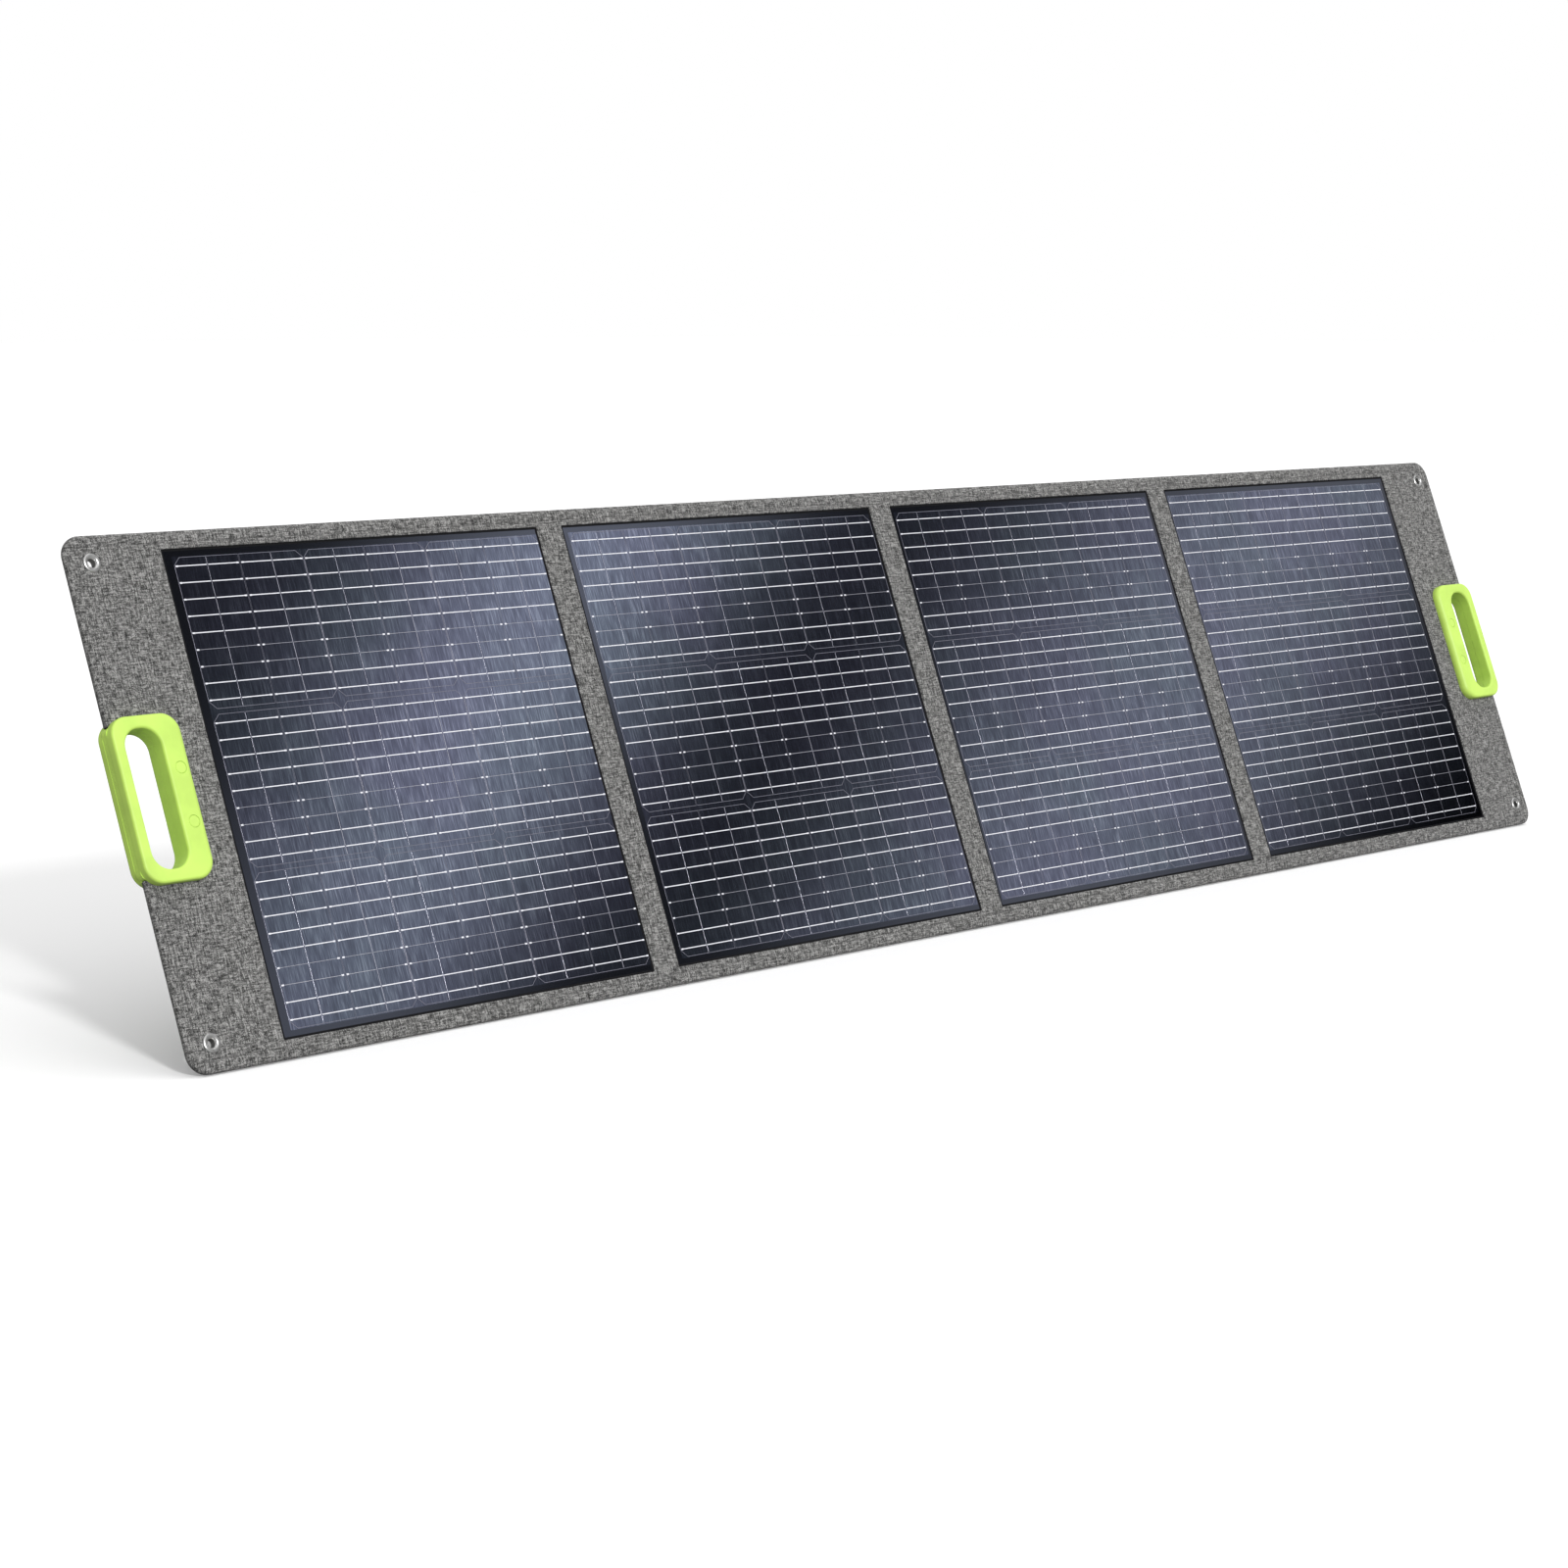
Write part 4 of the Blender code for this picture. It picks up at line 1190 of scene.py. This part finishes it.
def add_hinge_cloth(name, side, panel, stand):
    """The sewn cloth hinge: flat on the panel, round the fold, and down the stand's outer face."""
    x = side * STAND_X
    place = stand_place(side)
    to_panel = PANEL.inverted() @ place
    half = STAND_HALF - STAND_CORNER + 0.001
    on_panel, on_stand = BACK - 0.0009, -STAND_FACE - 0.0008

    def stand_point(y):
        point = to_panel @ Vector((0.0, y, on_stand))
        return point.y, point.z

    route = [(0.4250, on_panel), (0.4244, on_panel), (0.4150, on_panel), (0.4060, on_panel)]
    route += curve([(0.4060, on_panel), (0.4040, STAND_HINGE_Z - 0.002), stand_point(-0.0050)])
    route += [stand_point(y) for y in (-0.0050, -0.0140, -0.0249, -0.0255)]
    piece = add_band(f"{name}_hinge_cloth", None, "webbing", route, x, half, 0.0009)
    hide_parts(f"{name}_stand_hinge_tape")
    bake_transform(piece)

    for body, frame_place, middle, z, rows in (
        (panel, PANEL, x, on_panel - 0.00045, (0.4090, 0.4215)),
        (stand, place, 0.0, on_stand - 0.00045, (-0.0085, -0.0225)),
    ):
        thread = Shape()
        for y in rows:
            ends = [Vector((middle - half + 0.003, y)), Vector((middle + half - 0.003, y))]
            add_thread(thread, ends, z, -1)
        thread.make(f"{name}_hinge_stitches_{body}", body, "pale_thread", place=frame_place)


def add_snap(name, x, y, base, outward, body, node, hollow=False, place=PANEL):
    """Half of a snap fastener: a domed stud, or a ring socket."""
    profile = [(0.0060, 0.0), (0.0061, 0.0003), (0.0055, 0.0006)]
    if hollow:
        profile += [(0.0042, 0.0008), (0.0034, 0.0006), (0.0032, 0.0002), (0.0010, 0.0002)]
    else:
        profile += [(0.0036, 0.00065), (0.0031, 0.0008), (0.0027, 0.0011), (0.0012, 0.0012)]
    profile = [(radius, base + outward * rise) for radius, rise in profile]
    piece = turned(name, x, y, profile, body, "plated_metal", sides=32, place=place)
    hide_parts(node)


def add_stand(name, side, panel):
    stand = f"{name}_stand"
    add_stand_covers(name, side, stand)
    add_hinge_cloth(name, side, panel, stand)
    add_webbing_strap(name, side, panel)
    add_foot(name, stand)
    add_snap(f"{name}_snap_dome", side * STAND_X, SNAP_Y, BACK - 0.0003, -1, panel, f"{name}_stand_snap_stud")
    face = STAND_FACE + 0.0003
    node = f"{name}_stand_snap_socket"
    add_snap(f"{name}_snap_ring", 0.0, SNAP_Y - STAND_HINGE_Y, face, 1, stand, node, True, stand_place(side))


# ---------------------------------------------------------------- pouch


# The pouch's sewn hem, as (distance outside its wall, height above the cover)
POUCH_HEM = [(0.006, 0.0004), (0.0062, 0.0011), (0.0055, 0.0014), (0.0015, 0.0014)]


def pouch_section(y, inner=0.0):
    """Across the pouch at one height: hem, side wall, round corner, crowned face; the inside is pushed in."""
    half = POUCH_WIDTH / 2
    up = (y - POUCH_BOTTOM) / (POUCH_TOP - POUCH_BOTTOM)
    depth, radius = BACK - POUCH_BACK, 0.007
    crown = 0.0022 * sin(pi * min(max(up, 0.0), 1.0)) ** 0.7
    left = []
    if not inner:
        left += [(-half - out, rise) for out, rise in POUCH_HEM]
    left += [(-half + inner, 0.0030), (-half + inner + 0.0004 * sin(9 * up), depth * 0.5)]
    for angle in quarter(5):
        rise = depth - inner - radius + radius * sin(angle) + crown * 0.2 * sin(angle)
        left.append((-half + inner + radius * (1 - cos(angle)), rise))
    points = list(left)
    for step in range(1, 16):
        across = -1 + step / 8
        ripple = 0.0005 * sin(11 * across + 7 * up) * (1 - up * up)
        points.append((across * (half - 0.0085), depth - inner + crown * (1 - across * across) + ripple))
    points += [(-px, pz) for px, pz in reversed(left)]
    return points


def add_pouch():
    """The bellows pocket: a stitched hem, a crowned bag open at the top, and its bound mouth."""
    shape = Shape()
    hem = 0.0014
    base = BACK - 0.0003
    sections = [(-0.0062, 0.0), (-0.0058, 0.04), (-0.0015, 0.05), (0.0, 0.12), (0.0003, 0.5)]
    sections += [(0.0012, 0.78), (0.0030, 0.92), (0.0060, 0.985)]
    sections = [(POUCH_BOTTOM + rise, share) for rise, share in sections]
    sections += [(POUCH_BOTTOM + (POUCH_TOP - POUCH_BOTTOM) * step / 22, 1.0) for step in range(1, 23)]
    rows = []
    for y, share in sections:
        section = pouch_section(max(y, POUCH_BOTTOM + 0.001))
        ring = [(POUCH_X + px, y, base - max(pz * share, min(pz, hem * share * 20))) for px, pz in section]
        rows.append(shape.row(ring, [(px, y - pz * (1 - share)) for px, pz in section]))
    for y in (POUCH_TOP - 0.0005, POUCH_TOP - 0.02, POUCH_TOP - 0.08, POUCH_TOP - 0.15, POUCH_BOTTOM + 0.006):
        section = pouch_section(y, POUCH_THICK)
        inside = [section[0]] * len(POUCH_HEM) + section + [section[-1]] * len(POUCH_HEM)
        ring = [(POUCH_X + px, y, base - pz) for px, pz in inside]
        rows.append(shape.row(ring, [(px, 2 * POUCH_TOP - y) for px, _, _ in ring]))
    shape.loft(rows)
    piece = shape.make("pouch_fabric", "panel_4", "rear_fabric")
    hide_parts("pouch")

    outer = pouch_section(POUCH_TOP)[6:-6]
    trim = Shape()
    tape = []
    binding = [(-0.0100, 0.0002), (-0.0098, 0.0008), (-0.0005, 0.0009), (0.0006, 0.0006), (0.0010, -0.0004)]
    for rise, out in binding:
        grown = [(px + (out if px > 0 else -out), pz + out) for px, pz in outer]
        ring = [(POUCH_X + px, POUCH_TOP + rise, base - pz) for px, pz in grown]
        tape.append(trim.row(ring, [(px + pz * (1 if px > 0 else -1), rise) for px, pz in grown]))
    trim.loft(tape)
    trim.make("pouch_binding", "panel_4", "webbing", facing=-1)

    thread = Shape()
    reach = POUCH_WIDTH / 2 + 0.0038
    low = POUCH_BOTTOM - 0.0038
    line = [(-reach, POUCH_TOP - 0.002), (-reach, low), (reach, low), (reach, POUCH_TOP - 0.002)]
    add_thread(thread, [Vector((POUCH_X + px, py)) for px, py in line], base - hem, -1)
    thread.make("pouch_stitches", "panel_4", "pale_thread")


def add_flap():
    """The pouch's flap: from its sewn hinge, out over the mouth and down over the face."""
    half = POUCH_WIDTH / 2 + 0.003
    corner, thick, hem_width, turn = 0.014, 0.0012, 0.009, 0.009
    far = FLAP_BACK - 0.0003
    bottom = FLAP_AXIS_Y - FLAP_LENGTH + 0.0006
    route = [(FLAP_AXIS_Y, FLAP_AXIS_Z + 0.0002 - 0.0045 * step) for step in range(6)]
    route += curve([route[-1], (FLAP_AXIS_Y, far), (FLAP_AXIS_Y - turn, far)], 8)
    face_start = len(route)
    drop = FLAP_AXIS_Y - turn - bottom
    shares = [0.0, 0.2, 0.4, 0.6, 0.74, 0.82, 0.88, 0.93, 0.97, 0.99, 1.0]
    route += [(FLAP_AXIS_Y - turn - drop * share, far) for share in shares]
    steps = 24
    shape = Shape()
    rows = []
    for index, (y, z, ahead, run) in enumerate(stations(route)):
        left = max(y - bottom, 0.0)
        on_face = index >= face_start
        reach = half
        if on_face and left < corner:
            reach = half - corner + sqrt(max(corner**2 - (corner - left) ** 2, 0.0))
        ring, flat = [], []
        for face in (1, -1):
            for step in range(steps + 1):
                share = face * (-1 + 2 * step / steps)
                rim = 0.35 if abs(share) == 1 or index == len(route) - 1 else 1.0
                in_hem = abs(share) * reach > half - hem_width or (on_face and left < hem_width)
                out = face * thick / 2 * rim * (1.25 if in_hem and face > 0 else 1.0)
                wave = 0.0006 * sin(3 * share + 40 * run) if on_face else 0.0
                ring.append((POUCH_X + share * reach, y - ahead.y * out, z + ahead.x * out - wave))
                flat.append((share * reach, run))
        rows.append(shape.row(ring, flat))
    shape.band(rows)
    piece = shape.make("flap_fabric", "pouch_flap", "rear_fabric")
    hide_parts("pouch_flap")

    tape = [(FLAP_AXIS_Y + 0.0170, BACK - 0.0007), (FLAP_AXIS_Y + 0.0166, BACK - 0.0007)]
    tape += [(FLAP_AXIS_Y + 0.0060, BACK - 0.0007), (FLAP_AXIS_Y + 0.0022, BACK - 0.0008)]
    outer_y = FLAP_AXIS_Y + 0.0012
    tape += curve([tape[-1], (FLAP_AXIS_Y + 0.0014, FLAP_AXIS_Z), (outer_y, FLAP_AXIS_Z - 0.004)], 5)
    tape += [(outer_y, FLAP_AXIS_Z - 0.0080), (outer_y, FLAP_AXIS_Z - 0.0084)]
    piece = add_band("flap_hinge_tape", None, "webbing", tape, POUCH_X, half - 0.001, 0.0008)
    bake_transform(piece)

    thread = Shape()
    edge = half - 0.006
    line = [(-edge, FLAP_AXIS_Y - 0.010), (-edge, bottom + 0.014), (-edge + 0.008, bottom + 0.006)]
    line += [(-px, py) for px, py in reversed(line)]
    add_thread(thread, [Vector((POUCH_X + px, py)) for px, py in line], far - 0.0009, -1)
    thread.make("flap_stitches", "pouch_flap", "pale_thread")

    y = POUCH_TOP - 0.045
    add_snap("pouch_snap_dome", POUCH_X, y, POUCH_BACK - 0.0003, -1, "panel_4", "pouch_snap_stud")
    outside, inside = far - 0.0008, FLAP_BACK + 0.0010
    rivet = [(0.0015, outside - 0.0012), (0.0040, outside - 0.0011), (0.0058, outside - 0.0006)]
    rivet += [(0.0061, outside - 0.0001), (0.0020, outside), (0.0020, inside), (0.0060, inside)]
    rivet += [(0.0055, inside + 0.0005), (0.0034, inside + 0.0005)]
    rivet += [(0.0031, inside + 0.0001), (0.0010, inside + 0.0001)]
    piece = turned("flap_snap_rivet", POUCH_X, y, rivet, "pouch_flap", "plated_metal", sides=32)
    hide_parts("pouch_snap_socket")


# ---------------------------------------------------------------- stage


SUN_FROM = Vector((-0.27, -0.87, 0.42)).normalized()
SOFT_FROM = Vector((0.75, -0.35, 0.56)).normalized()
STRIP_SLANT = 0.57
# How far the strips' brightness is drawn each way
STRIP_REACH = 0.3
# Across the strip lights: how far along they are, and how bright
STRIPS = [(-0.187, 0.12), (-0.10, 1.17), (-0.027, 0.06), (-0.012, 0.035), (0.101, 0.77), (0.192, 0.0)]


def add_stage():
    scene = bpy.context.scene
    scene.view_settings.view_transform = "Standard"
    floor = bpy.data.objects.new("floor", bpy.data.meshes.new("floor"))
    built = bmesh.new()
    bmesh.ops.create_grid(built, x_segments=1, y_segments=1, size=60.0)
    built.to_mesh(floor.data)
    built.free()
    made = Nodes("floor")
    seen = made.tree.nodes.new("ShaderNodeLightPath").outputs["Is Camera Ray"]
    paint = made.mix(seen, (0.24, 0.24, 0.24, 1.0), (0.97, 0.97, 0.97, 1.0))
    floor.data.materials.append(made.finish(Base_Color=paint, Roughness=1.0, Specular_IOR_Level=0.0))
    floor.location.z = -0.0002
    scene.collection.objects.link(floor)

    sun = bpy.data.objects.new("key", bpy.data.lights.new("key", "SUN"))
    scene.collection.objects.link(sun)
    sun.data.energy = 1.9
    sun.data.angle = radians(7)
    sun.rotation_euler = SUN_FROM.to_track_quat("Z", "Y").to_euler()
    add_world()


def add_world():
    """A white studio, brighter from the upper right, with two soft slanting strip lights for glossy faces."""
    world = bpy.data.worlds.new("studio")
    bpy.context.scene.world = world
    made = Nodes(world, "Background")
    direction = made.node("TexCoord", output=0)
    soft = made.plus(made.times(made.dot(direction, SOFT_FROM), 0.66), 0.70)

    turn = bpy.context.scene.camera.rotation_euler.to_matrix()
    ahead, right, up = (axis.reflect(OUT) for axis in (-turn.col[2], turn.col[0], turn.col[1]))
    depth = made.math("MAXIMUM", made.dot(direction, ahead), 0.05)
    across = made.dot(direction, right)
    slant = made.math("SUBTRACT", across, made.times(made.dot(direction, up), STRIP_SLANT))
    place = made.plus(made.over(slant, depth), STRIP_REACH)
    stops = [((along + STRIP_REACH) / (2 * STRIP_REACH), (power, power, power)) for along, power in STRIPS]
    strips = made.ramp(made.over(place, 2 * STRIP_REACH), stops, "EASE")
    fade = made.node("MapRange", Value=made.over(across, depth), From_Min=-0.15, From_Max=-0.07, To_Min=0.62)
    strips = made.mix(fade, (0.0, 0.0, 0.0, 1.0), strips)
    smooth = {"interpolation_type": "SMOOTHSTEP"}
    near = made.node("MapRange", smooth, Value=depth, From_Min=0.84, From_Max=0.95)
    height = made.dot(direction, (0.0, 0.0, 1.0))
    horizon, low, high = (0.35, 0.35, 0.35), (0.16, 0.16, 0.17), (0.75, 0.75, 0.76)
    haze = made.ramp(height, [(0.0, horizon), (0.25, low), (1.0, high)])
    glossy = made.mix(near, haze, strips)

    rays = made.tree.nodes.new("ShaderNodeLightPath")
    light = made.mix(rays.outputs["Is Glossy Ray"], soft, glossy)
    light = made.mix(rays.outputs["Is Camera Ray"], light, (1.0, 1.0, 1.0, 1.0))
    made.finish(Color=light, Strength=1.0)
    world.cycles.sampling_method = "NONE"


# ---------------------------------------------------------------- build

# The finish of a CAD node, by the first of these words that is in its name
CAD_FINISHES = {
    "stiffener": "board",
    "stand_board": "board",
    "stand_cover": "rear_fabric",
    "stand_foot": "rubber",
    "stand_hinge_tape": "webbing",
    "stand_strap": "webbing",
    "snap": "plated_metal",
    "eyelet": "plated_metal",
    "pouch": "rear_fabric",
    "output_box": "black_plastic",
    "output_socket": "black_plastic",
    "diode_board": "circuit_board",
    "handle_screw": "screw_steel",
    "handle": "lime_plastic",
    "cover": "rear_fabric",
}


def finish_cad_nodes():
    """Finishes every CAD node but the laminates, which are finished with their cells."""
    for name, node in frame["nodes"].items():
        finish = next((value for key, value in CAD_FINISHES.items() if key in name), None)
        if finish:
            finish_node(node, finish)


def main():
    add_camera()
    finish_cad_nodes()
    add_covers()
    for number in range(1, PANELS + 1):
        add_laminate(number)
    for name, side, body in (("left", -1, "panel_1"), ("right", 1, f"panel_{PANELS}")):
        add_handle(name, side, body)
        add_eyelets(name, side, body)
        add_stand(name, side, body)
    add_pouch()
    add_flap()
    add_stage()


main()
